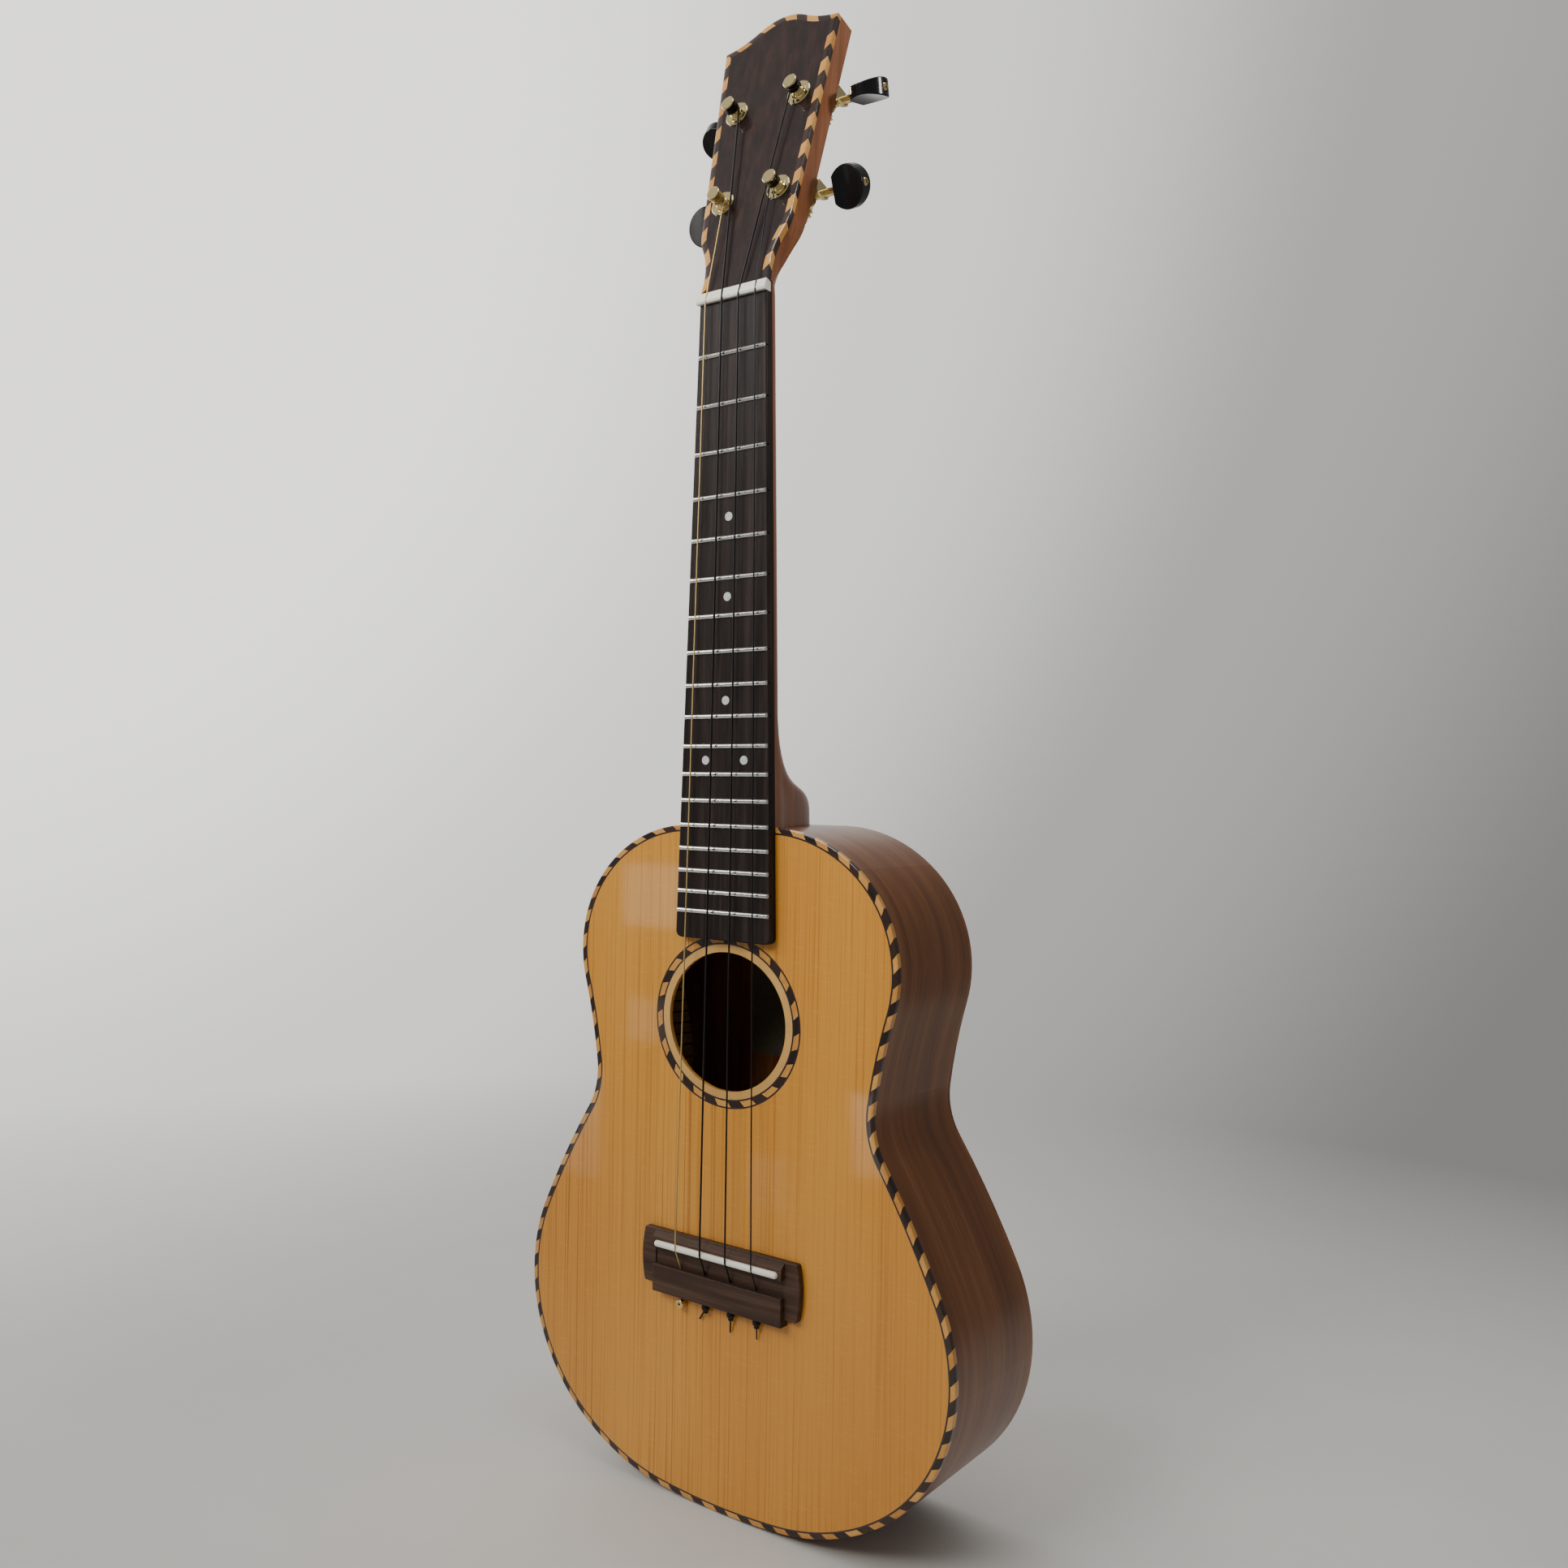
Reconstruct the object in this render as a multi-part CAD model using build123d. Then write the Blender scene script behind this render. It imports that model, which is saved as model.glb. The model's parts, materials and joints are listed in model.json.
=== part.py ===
"""Tenor ukulele with open-geared tuners, as separate pieces.

Frame, in millimetres: X to the player's right as the front is seen, Y into the body, Z up along the neck.
The origin is on the centreline, on the fretboard's playing surface, at its edge against the nut.
"""
import os
from math import atan2, cos, pi, radians, sin, sqrt

from build123d import *

# ---------------------------------------------------------------- driving dimensions
SCALE_LENGTH = 432.0          # nut edge to saddle crown
FRET_COUNT = 18
BODY_FRET = 14                # the fret at which the neck meets the body

# fretboard
NUT_HALF = 18.15              # half width of the board at the nut
BOARD_END_HALF = 26.15
BOARD_LENGTH = 292.0
BOARD_THICK = 4.8
BOARD_CORNER = 3.0
FRET_WIDTH = 2.2
FRET_HEIGHT = 1.0
FRET_INSET = 0.7              # from the board's edge to the fret's end
TANG_WIDTH = 0.6
TANG_DEPTH = 1.6
DOT_RADIUS = 2.0
DOT_DEPTH = 1.2
SINGLE_DOT_FRETS = (5, 7, 10)
DOUBLE_DOT_FRET = 12
DOUBLE_DOT_HALF = 10.5

# body
FACE_Y = BOARD_THICK          # front face of the top plate
DEPTH_AT_NECK = 67.5
DEPTH_AT_TAIL = 80.6
MID_Y = 44.8                  # halfway into the body
PLATE_THICK = 2.2
SIDE_THICK = 2.4
BINDING_DEPTH = 2.5
PURFLING_WIDTH = 0.65
LINING_WIDTH = 5.0
LINING_DEPTH = 8.0
# half outline from the tail's middle to the flat at the heel: radius and turn of each tangent arc,
# negative where the waist curves inwards; the turns add up to half a circle
BODY_ARCS = ((305.0, 6.0), (102.0, 32.0), (83.3, 48.5), (85.4, 27.0), (431.0, 8.0),
             (-35.4, -39.0), (-272.0, -8.5), (60.3, 64.5), (67.1, 41.5))

# blocks, bars and label inside the body
NECK_BLOCK_HALF = 30.0
NECK_BLOCK_LENGTH = 26.0
TAIL_BLOCK_HALF = 28.0
TAIL_BLOCK_LENGTH = 16.0
PATCH_HALF = 52.0
PATCH_THICK = 2.0
PATCH_Z = (-470.0, -428.0)
TOP_BAR_Z = (-284.0, -376.0)
TOP_BAR_WIDTH = 6.0
TOP_BAR_DEPTH = 9.0
FAN_TURNS = (-9, 0, 9)        # of the three bars under the bridge, in degrees
FAN_Z = -448.0
FAN_SPREAD = 2.6              # sideways shift for each degree of turn
FAN_BAR = (5.0, 6.0, 128.0)
BACK_BAR_Z = (-290.0, -385.0, -480.0)
BACK_BAR_WIDTH = 7.0
BACK_BAR_DEPTH = 10.0
LABEL_HALF = 32.0
LABEL_Z = (-356.6, -308.6)
LABEL_THICK = 0.25

# sound hole
HOLE_Z = -329.6
HOLE_RADIUS = 32.0
RING_RADIUS = 35.6
LINE_WIDTH = 0.5
ROSETTE_RADIUS = 39.3
INLAY_DEPTH = 1.2

# neck and heel
NECK_DEPTH_AT_NUT = 12.5      # wood behind the board
NECK_DEPTH_AT_HEEL = 14.6
HEEL_START_Z = -190.0
HEEL_PROFILE = ((-203.0, 18.5), (-211.5, 25.0), (-217.0, 33.0), (-220.5, 43.0),
                (-223.5, 53.0), (-228.5, 60.0), (-240.0, 63.2))
HEEL_TAPER = 0.55
HEEL_SQUARENESS = 6.0

# headstock, in its own frame: x across, s along the face, h out of the face
HEAD_TILT = 15.5
HEAD_FOOT = (0.0, 0.5, 5.0)   # where the face starts, behind the nut
HEAD_THICK = 13.0
VENEER_THICK = 1.5
HEAD_BINDING = 3.0
HEAD_FOOT_HALF = 17.7         # half width at the nut
HEAD_STEM = 6.5               # where the sides start to flare
STEM_WIDENING = ((-20.0, 1.2), (0.5, 0.6))     # place and extra half width below the stem's top
HEAD_FLARE = ((38.0, -28.0), (20.0, 24.4))
HEAD_TOP = 142.7
HEAD_CROWN = ((24.0, -31.0), (45.0, 25.0))
CARVE_LENGTH = 34.0           # how far the rounded back of the neck runs up behind the head
# sections of that part: place along the head, half width, depth under the veneer, squareness
CARVE_STATIONS = ((2.0, 18.5, 15.3, 2.1), (5.0, 18.8, 14.4, 2.3), (8.0, 19.4, 13.6, 2.6),
                  (11.0, 20.6, 12.85, 3.1), (14.0, 22.4, 12.25, 3.8), (18.0, 25.5, 11.8, 5.0),
                  (24.0, 32.0, 11.55, 7.0), (36.0, 46.0, 11.5, 10.0))

# nut, bridge and saddle
NUT_LENGTH = 5.0
NUT_TOP_Y = -2.2
NUT_OVERHANG = 0.5
BRIDGE_FRONT_Z = -431.5
BRIDGE_BACK_Z = -457.6
BRIDGE_HALF = 43.7
BRIDGE_BOW = 1.6
WING_HEIGHT = 3.2
BLOCK_HALF = 35.6
RIDGE_HEIGHT = 6.0
RIDGE_BACK_Z = -439.6
TIE_FRONT_Z = -447.6
TIE_BACK_Z = -460.6
TIE_HEIGHT = 5.8
SADDLE_HALF = 33.9
SADDLE_THICK = 3.0
SADDLE_TOP_Y = -3.0
SADDLE_SEAT_Y = 2.6

# strings: name, diameter, place from the left at the nut and saddle, tuner that winds it
STRINGS = (("g", 0.66, 0, 1), ("c", 0.92, 1, 2), ("e", 0.82, 2, 3), ("a", 0.66, 3, 4))
NUT_SPACING = 9.0
SADDLE_SPACING = 14.0
HOLE_Y = 1.6                  # the strings' holes through the tie block
BEND_RADIUS = 3.0
TAIL_RUNS = {"c": (-4.0, -4.5), "e": (-1.0, -6.5), "a": (-0.6, -6.0)}

# tuners: post places on the head (x, s) and the button's turn about its shaft at rest
TUNERS = {1: (-15.2, 47.0, 20.0), 2: (-17.0, 95.5, 75.0), 3: (17.0, 95.5, -62.0), 4: (15.2, 47.0, 38.0)}
POST_RADIUS = 3.0
RUN_GAP = 0.05                # radial clearance of each running fit
BARREL_RADIUS = 2.4
WASHER_RADIUS = 6.0
WASHER_THICK = 0.9
SLEEVE_RADIUS = 4.2
SLEEVE_DEPTH = 6.0
POST_TOP = 9.0
FLARE_RADIUS = 3.4
STRING_LEVEL = 3.0            # height of the strings' centres over the head's face at the posts
WINDING_TURNS = 4
STRING_GAP = 0.08
BACK_H = -HEAD_THICK
TUNER_PLATE = 1.0
WORM_H = -20.5                # height of the worm's axis and the gear's middle
WORM_OFFSET = 7.0             # from the post's axis to the worm's
GEAR_TEETH = 14
GEAR_PITCH_RADIUS = 4.6
GEAR_THICK = 3.6
TOOTH_ABOVE = 0.6
TOOTH_BELOW = 0.85
TOOTH_ROOT_WIDTH = 1.15
TOOTH_TIP_WIDTH = 0.5
THREAD_ROOT_WIDTH = 1.1
THREAD_TIP_WIDTH = 0.45
THREAD_TURNS = 4
INNER_JOURNAL = 1.4
SHAFT_RADIUS = 2.0
SPIGOT_RADIUS = 1.4           # of the shaft inside the button
TAB_THICK = 1.2
TAB_HALF = 3.0
INNER_TAB_X = 6.6             # outer face of the inner tab, from the post's axis
OUTER_TAB_X = 11.6
BUTTON_START = 17.0
BUTTON_LENGTH = 15.5
BUTTON_HALF_WIDTH = 9.8
BUTTON_HALF_LENGTH = 8.6      # of its oval, which the flat at the shaft cuts
# half thickness of the button at places along it, from the shaft outwards
BUTTON_PROFILE = ((0.0, 3.4), (5.0, 2.7), (10.0, 3.0), (15.5, 4.3))
SCREW_HEAD_RADIUS = 2.25
MOUNT_SCREWS = ((8.6, -1.8), (-5.0, -3.2))     # outwards and along the head, from the post
MOUNT_SCREW_RADIUS = 1.0

MODULE = 2 * GEAR_PITCH_RADIUS / GEAR_TEETH
LEAD = pi * MODULE


def fret_z(number):
    """Height of a fret below the nut."""
    return -SCALE_LENGTH * (1 - 2 ** (-number / 12))


def outline_height(arcs):
    """How far a chain of tangent arcs rises, from its start along a level line."""
    heading, height = 0.0, 0.0
    for radius, turn in arcs:
        height += radius * (cos(radians(heading)) - cos(radians(heading + turn)))
        heading += turn
    return height


BODY_Z = fret_z(BODY_FRET)
TAIL_Z = BODY_Z - outline_height(BODY_ARCS)
BACK_SLOPE = (DEPTH_AT_TAIL - DEPTH_AT_NECK) / (BODY_Z - TAIL_Z)


def board_half(z):
    """Half width of the fretboard at height z."""
    return NUT_HALF + (BOARD_END_HALF - NUT_HALF) * min(1.0, max(0.0, -z / BOARD_LENGTH))


def slab(sketch, y_front, y_back):
    """A sketch drawn as x and z, made solid from y_front to y_back."""
    return extrude(Plane.XZ.offset(-y_back) * sketch, y_back - y_front)


def block(x, y, z):
    """A box from its three ranges."""
    middle = [(low + high) / 2 for low, high in (x, y, z)]
    return Pos(*middle) * Box(x[1] - x[0], y[1] - y[0], z[1] - z[0])


def rod(start, end, radius):
    """A round rod between two points."""
    a, b = Vector(*start), Vector(*end)
    plane = Plane(origin=a, z_dir=b - a)
    return extrude(plane * Circle(radius), (b - a).length)


# ---------------------------------------------------------------- body
def arc_chain(start, tangent, arcs, inset=0.0):
    """Tangent arcs from radius and turn, each one's radius changed by an inset towards the left."""
    line = Curve()
    for radius, turn in arcs:
        arc = JernArc(start, tangent, abs(radius) - (inset if turn > 0 else -inset), turn)
        line += arc
        start, tangent = arc @ 1, arc % 1
    return line, start


def body_outline(inset=0.0):
    """The body's outline as a face, drawn as x and z, moved inwards by inset."""
    half, end = arc_chain((0, TAIL_Z + inset), (1, 0), BODY_ARCS, inset)
    half += Line(end, (0, end.Y))
    return make_face(half + mirror(half, Plane.YZ))


def back_plane(inside=0.0):
    """The tilted plane of the back plate's outer face, moved inwards by inside."""
    normal = Vector(0, 1, BACK_SLOPE).normalized()
    foot = Vector(0, FACE_Y + DEPTH_AT_NECK, BODY_Z)
    return Plane(origin=foot - normal * inside, x_dir=(1, 0, 0), z_dir=normal)


def body_ring(outer, inner, y_front, y_back):
    """A ring that follows the outline, between two insets."""
    return slab(body_outline(outer) - body_outline(inner), y_front, y_back)


def in_front_of_back(solid, inside=PLATE_THICK):
    """Cut a solid off at the back plate's inner face."""
    return split(solid, bisect_by=back_plane(inside), keep=Keep.BOTTOM)


def hole_disc(radius):
    """A disc round the sound hole's centre."""
    return Pos(0, HOLE_Z) * Circle(radius)


def hole_ring(outer, inner, depth=INLAY_DEPTH):
    """A flush ring round the sound hole."""
    return slab(hole_disc(outer) - hole_disc(inner), FACE_Y, FACE_Y + depth)


def make_body():
    """Plates, sides, binding, purfling, linings, blocks and bracing."""
    parts = {}
    far = 120.0
    plate_back = FACE_Y + PLATE_THICK
    binding_back = FACE_Y + BINDING_DEPTH
    inner = SIDE_THICK
    plate_inset = SIDE_THICK + PURFLING_WIDTH
    line_outer = ROSETTE_RADIUS + LINE_WIDTH

    top = slab(body_outline(plate_inset) - hole_disc(HOLE_RADIUS), FACE_Y, plate_back)
    parts["top_plate"] = top - hole_ring(line_outer, HOLE_RADIUS - 1.0)
    parts["soundhole_ring"] = hole_ring(RING_RADIUS, HOLE_RADIUS)
    parts["rosette"] = hole_ring(ROSETTE_RADIUS, RING_RADIUS + LINE_WIDTH)
    parts["purfling"] = Compound([
        body_ring(inner, plate_inset, FACE_Y, plate_back),
        hole_ring(RING_RADIUS + LINE_WIDTH, RING_RADIUS),
        hole_ring(line_outer, ROSETTE_RADIUS)])
    parts["top_binding"] = body_ring(0, inner, FACE_Y, binding_back)

    back = slab(body_outline(), MID_Y, far)
    back = split(back, bisect_by=back_plane(), keep=Keep.BOTTOM)
    parts["back_plate"] = split(back, bisect_by=back_plane(PLATE_THICK), keep=Keep.TOP)

    sides = in_front_of_back(body_ring(0, inner, binding_back, far))
    parts["bass_side"] = split(sides, bisect_by=Plane.YZ, keep=Keep.BOTTOM)
    parts["treble_side"] = split(sides, bisect_by=Plane.YZ, keep=Keep.TOP)

    cavity = in_front_of_back(slab(body_outline(inner), plate_back, far))
    neck_room = block((-NECK_BLOCK_HALF, NECK_BLOCK_HALF), (0, far), (BODY_Z - NECK_BLOCK_LENGTH, BODY_Z))
    tail_room = block((-TAIL_BLOCK_HALF, TAIL_BLOCK_HALF), (0, far), (TAIL_Z, TAIL_Z + TAIL_BLOCK_LENGTH))
    parts["neck_block"] = neck_room & cavity
    parts["tail_block"] = tail_room & cavity

    lining = slab(body_outline(inner) - body_outline(inner + LINING_WIDTH), plate_back, far)
    lining -= neck_room
    lining -= tail_room
    front_lining = split(lining, bisect_by=Plane.XZ.offset(-plate_back - LINING_DEPTH), keep=Keep.TOP)
    back_lining = in_front_of_back(lining)
    back_lining = split(back_lining, bisect_by=back_plane(PLATE_THICK + LINING_DEPTH), keep=Keep.TOP)
    parts["linings"] = Compound(front_lining.solids() + back_lining.solids())

    room = slab(body_outline(inner + LINING_WIDTH), plate_back, far)
    patch = block((-PATCH_HALF, PATCH_HALF), (plate_back, plate_back + PATCH_THICK), PATCH_Z)
    parts["bridge_patch"] = patch
    bars = [block((-far, far), (plate_back, plate_back + TOP_BAR_DEPTH),
                  (z - TOP_BAR_WIDTH / 2, z + TOP_BAR_WIDTH / 2)) & room for z in TOP_BAR_Z]
    for turn in FAN_TURNS:
        fan = Pos(turn * FAN_SPREAD, plate_back + FAN_BAR[1] / 2, FAN_Z) * Rot(0, turn, 0) * Box(*FAN_BAR)
        bars.append((fan - patch) & room)
    parts["top_braces"] = Compound([solid for bar in bars for solid in bar.solids()])

    half = BACK_BAR_WIDTH / 2
    ladders = []
    for z in BACK_BAR_Z:
        ladder = in_front_of_back(block((-far, far), (MID_Y, far), (z - half, z + half)) & room)
        ladders += split(ladder, bisect_by=back_plane(PLATE_THICK + BACK_BAR_DEPTH), keep=Keep.TOP).solids()
    parts["back_braces"] = Compound(ladders)

    label = in_front_of_back(block((-LABEL_HALF, LABEL_HALF), (MID_Y, far), LABEL_Z))
    parts["inside_label"] = split(label, bisect_by=back_plane(PLATE_THICK + LABEL_THICK), keep=Keep.TOP)
    return parts


# ---------------------------------------------------------------- neck and headstock
def head_plane(x=0.0, s=0.0, h=0.0):
    """A plane parallel to the headstock's face: local x across, y along it, z out of it."""
    tilt = radians(HEAD_TILT)
    along = Vector(0, sin(tilt), cos(tilt))
    out = Vector(0, -cos(tilt), sin(tilt))
    origin = Vector(*HEAD_FOOT) + Vector(x, 0, 0) + along * s + out * h
    return Plane(origin=origin, x_dir=(1, 0, 0), z_dir=out)


def head_outline(inset=0.0, foot=0.0):
    """The headstock's face above foot, moved inwards by inset on its three free sides."""
    reach = 160.0
    below = STEM_WIDENING[0][0]
    lower = [(HEAD_FOOT_HALF + extra - inset, s) for s, extra in STEM_WIDENING]
    stem = Polyline(*lower, (HEAD_FOOT_HALF - inset, HEAD_STEM))
    flare, shoulder = arc_chain(stem @ 1, (0, 1), HEAD_FLARE, inset)
    side = Line(shoulder, shoulder + (flare % 1) * reach)
    width = stem + flare + side + Polyline(side @ 1, (0, (side @ 1).Y), (0, below), stem @ 0)
    crown, corner = arc_chain((0, HEAD_TOP - inset), (1, 0), HEAD_CROWN, -inset)
    brow = Line(corner, corner + (crown % 1) * reach)
    height = crown + brow + Polyline(brow @ 1, ((brow @ 1).X, foot), (0, foot), crown @ 0)
    half = make_face(width) & make_face(height)
    return half + mirror(half, Plane.YZ)


def neck_section(half, depth, taper=0.0, squareness=2.0):
    """A section across the neck: a flat front and a rounded back of the given depth."""
    steps = 8
    right = []
    for step in range(steps + 1):
        part = sin(pi / 2 * step / steps)
        width = half * (1 - taper * part) * sqrt(max(0.0, 1 - part ** squareness))
        right.append((width, part * depth))
    left = [(-x, y) for x, y in reversed(right[:-1])]
    back = Spline(*right, *left, tangents=[(-0.001, 1), (-0.001, -1)])
    return make_face(back + Line(back @ 1, back @ 0))


def level(z):
    """A plane across the neck at height z, from the board's underside: local y goes backwards."""
    return Plane(origin=(0, BOARD_THICK, z), x_dir=(1, 0, 0), z_dir=(0, 0, 1))


def make_neck():
    """The neck with its heel and headstock, and the veneer and binding on the headstock."""
    nut_end = level(0) * neck_section(NUT_HALF, NECK_DEPTH_AT_NUT)
    heel_sections = [level(HEEL_START_Z) * neck_section(board_half(HEEL_START_Z), NECK_DEPTH_AT_HEEL)]
    shaft = loft([nut_end, heel_sections[0]])
    deepest = HEEL_PROFILE[-1][1]
    for z, depth in HEEL_PROFILE:
        grown = (depth - NECK_DEPTH_AT_HEEL) / (deepest - NECK_DEPTH_AT_HEEL)
        squareness = 2.0 + (HEEL_SQUARENESS - 2.0) * grown
        section = neck_section(board_half(z), depth, HEEL_TAPER * grown, squareness)
        heel_sections.append(level(max(z, BODY_Z)) * section)
    heel = loft(heel_sections)

    rising = [carve_plane(s) * neck_section(half, depth, 0.0, squareness)
              for s, half, depth, squareness in CARVE_STATIONS]
    carve = loft([nut_end] + rising, ruled=True)
    below, deep = STEM_WIDENING[0][0], 40.0
    carve &= extrude(head_plane(h=-deep) * head_outline(foot=below), deep - VENEER_THICK)
    carve &= head_block(below, CARVE_LENGTH)
    wood = extrude(head_plane(h=BACK_H) * head_outline(foot=CARVE_LENGTH), HEAD_THICK - VENEER_THICK)
    neck = shaft + heel + carve + wood
    ledge = extrude(head_plane(h=-HEAD_BINDING) * head_binding_sketch(), HEAD_BINDING)
    neck -= ledge
    nut_seat = block((-30, 30), (-20, BOARD_THICK), (-1, NUT_LENGTH))
    neck -= nut_seat
    ledge -= nut_seat
    for x, s, _ in TUNERS.values():
        neck -= head_cylinder(x, s, SLEEVE_RADIUS, -SLEEVE_DEPTH, 1)
        neck -= head_cylinder(x, s, POST_RADIUS + 0.4, BACK_H - 1, 0)
        for out, up in MOUNT_SCREWS:
            neck -= head_cylinder(x + outward(x) * out, s + up, MOUNT_SCREW_RADIUS, BACK_H - 1, BACK_H + 7)

    veneer = extrude(head_plane(h=-VENEER_THICK) * head_outline(HEAD_BINDING), VENEER_THICK)
    veneer -= nut_seat
    for x, s, _ in TUNERS.values():
        veneer -= head_cylinder(x, s, SLEEVE_RADIUS, -SLEEVE_DEPTH, 1)
    return {"neck": neck, "headstock_veneer": veneer, "headstock_binding": ledge}


def carve_plane(s):
    """A plane across the headstock at s, from the veneer's underside: local y goes backwards."""
    base = head_plane(s=s, h=-VENEER_THICK)
    return Plane(origin=base.origin, x_dir=(1, 0, 0), z_dir=base.y_dir)


def head_block(s_low, s_high):
    """The whole width of the headstock between two places along it."""
    height = 60.0
    sketch = Pos(0, (s_low + s_high) / 2) * Rectangle(100, s_high - s_low)
    return extrude(head_plane(h=-height / 2) * sketch, height)


def head_binding_sketch():
    """The strip that follows the headstock's three free edges."""
    return head_outline() - head_outline(HEAD_BINDING)


def head_cylinder(x, s, radius, h_low, h_high):
    """A cylinder square to the headstock's face."""
    return extrude(head_plane(x, s, h_low) * Circle(radius), h_high - h_low)


def outward(x):
    """+1 on the right of the centreline and -1 on the left."""
    return 1 if x > 0 else -1


# ---------------------------------------------------------------- fretboard
def make_fretboard():
    """The board with its slots, the frets and the dots."""
    face = make_face(Polyline((NUT_HALF, 0), (BOARD_END_HALF, -BOARD_LENGTH),
                              (-BOARD_END_HALF, -BOARD_LENGTH), (-NUT_HALF, 0), close=True))
    lower = face.vertices().sort_by(Axis.Y)[:2]
    board = slab(fillet(lower, BOARD_CORNER), 0, BOARD_THICK)
    front = board.faces().sort_by(Axis.Y)[0]
    rim = [edge for edge in front.edges() if edge.center().Z < -10]
    board = fillet(rim, 0.9)

    frets = []
    for number in range(1, FRET_COUNT + 1):
        z = fret_z(number)
        half = board_half(z) - FRET_INSET
        board -= block((-40, 40), (-1, TANG_DEPTH), (z - TANG_WIDTH / 2, z + TANG_WIDTH / 2))
        frets.append(make_fret(z, half))
    dots = []
    for number, x in dot_places():
        z = (fret_z(number) + fret_z(number - 1)) / 2
        disc = slab(Pos(x, z) * Circle(DOT_RADIUS), 0, DOT_DEPTH)
        board -= disc
        dots.append(disc)
    return {"fretboard": board, "frets": Compound(frets), "fret_markers": Compound(dots)}


def dot_places():
    """Fret number and x of each position dot."""
    places = [(number, 0.0) for number in SINGLE_DOT_FRETS]
    return places + [(DOUBLE_DOT_FRET, -DOUBLE_DOT_HALF), (DOUBLE_DOT_FRET, DOUBLE_DOT_HALF)]


def make_fret(z, half):
    """One fret: a crown with bevelled ends on a tang."""
    crown_radius = (FRET_WIDTH ** 2 / 4 + FRET_HEIGHT ** 2) / (2 * FRET_HEIGHT)
    crown = rod((-half, crown_radius - FRET_HEIGHT, z), (half, crown_radius - FRET_HEIGHT, z), crown_radius)
    crown = split(crown, bisect_by=Plane.XZ, keep=Keep.TOP)
    bevel = 0.5
    ends = make_face(Polyline((-half, 0), (half, 0), (half - bevel, -FRET_HEIGHT),
                              (bevel - half, -FRET_HEIGHT), close=True))
    crown &= extrude(Plane.XY.offset(z - FRET_WIDTH) * ends, 2 * FRET_WIDTH)
    tang = block((-half, half), (-0.2, TANG_DEPTH), (z - TANG_WIDTH / 2, z + TANG_WIDTH / 2))
    return (crown + tang).solid()


# ---------------------------------------------------------------- nut, bridge and saddle
def side_profile(points, half):
    """A solid of constant section along X, from points given as z and y."""
    face = make_face(Polyline(*[(y, z) for z, y in points], close=True))
    return extrude(Plane.YZ.offset(-half) * face, 2 * half)


def make_nut():
    """The nut: taller at the back of its crown, and a little wider than the board."""
    half = NUT_HALF + NUT_OVERHANG
    nut = side_profile(((0, BOARD_THICK), (0, NUT_TOP_Y + 0.5), (1.2, NUT_TOP_Y),
                        (NUT_LENGTH, NUT_TOP_Y + 1.3), (NUT_LENGTH, BOARD_THICK)), half)
    top = nut.edges().filter_by(Axis.X).sort_by(Axis.Y)[:2]
    nut = fillet(top, 0.5)
    flank = make_face(Polyline((half, -9), (half, -0.4), (half - 1.2, BOARD_THICK), (half + 5, BOARD_THICK),
                               (half + 5, -9), close=True))
    cut = extrude(Plane.XY.offset(-1) * flank, NUT_LENGTH + 2)
    return nut - cut - mirror(cut, Plane.YZ)


def make_bridge():
    """The tie bridge: thin wings, a sloped ridge that holds the saddle, a channel and the tie block."""
    middle_z = (BRIDGE_FRONT_Z + BRIDGE_BACK_Z) / 2
    right_end = ThreePointArc((BRIDGE_HALF - BRIDGE_BOW, BRIDGE_BACK_Z), (BRIDGE_HALF, middle_z),
                              (BRIDGE_HALF - BRIDGE_BOW, BRIDGE_FRONT_Z))
    front = Line(right_end @ 1, (BRIDGE_BOW - BRIDGE_HALF, BRIDGE_FRONT_Z))
    left_end = ThreePointArc(front @ 1, (-BRIDGE_HALF, middle_z), (BRIDGE_BOW - BRIDGE_HALF, BRIDGE_BACK_Z))
    rear = Line(left_end @ 1, right_end @ 0)
    base = make_face(right_end + front + left_end + rear)
    base = fillet(base.vertices(), 1.2)
    wing_y = FACE_Y - WING_HEIGHT
    wings = slab(base, wing_y, FACE_Y)
    wings = fillet(wings.faces().sort_by(Axis.Y)[0].edges(), 0.6)

    ridge_y = FACE_Y - RIDGE_HEIGHT
    ridge = side_profile(((BRIDGE_FRONT_Z - 0.4, wing_y + 0.5), (BRIDGE_FRONT_Z - 3.2, ridge_y),
                          (RIDGE_BACK_Z, ridge_y), (RIDGE_BACK_Z, FACE_Y), (BRIDGE_FRONT_Z - 0.4, FACE_Y)),
                         BLOCK_HALF)
    tie_y = FACE_Y - TIE_HEIGHT
    tie = block((-BLOCK_HALF, BLOCK_HALF), (tie_y, FACE_Y), (TIE_BACK_Z, TIE_FRONT_Z))
    tie = fillet(tie.faces().sort_by(Axis.Y)[0].edges(), 0.5)
    bridge = wings + ridge + tie
    channel = block((-BLOCK_HALF, BLOCK_HALF), (-9, wing_y + 0.6), (TIE_FRONT_Z, RIDGE_BACK_Z))
    bridge -= channel

    saddle_z = -SCALE_LENGTH - 5.5
    radius = SADDLE_THICK / 2
    bar = Pos(0, saddle_z) * SlotOverall(2 * SADDLE_HALF, SADDLE_THICK)
    saddle = slab(bar, SADDLE_TOP_Y, SADDLE_SEAT_Y)
    saddle = fillet(saddle.faces().sort_by(Axis.Y)[0].edges(), 0.95 * radius)
    bridge -= slab(bar, -9, SADDLE_SEAT_Y)
    return bridge, saddle


# ---------------------------------------------------------------- strings
def string_x(place, spacing):
    """Where a string stands across the nut or the saddle."""
    return (place - 1.5) * spacing


def head_point(x, s, h):
    """A point given in the headstock's own frame."""
    return head_plane(x, s, h).origin


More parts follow.
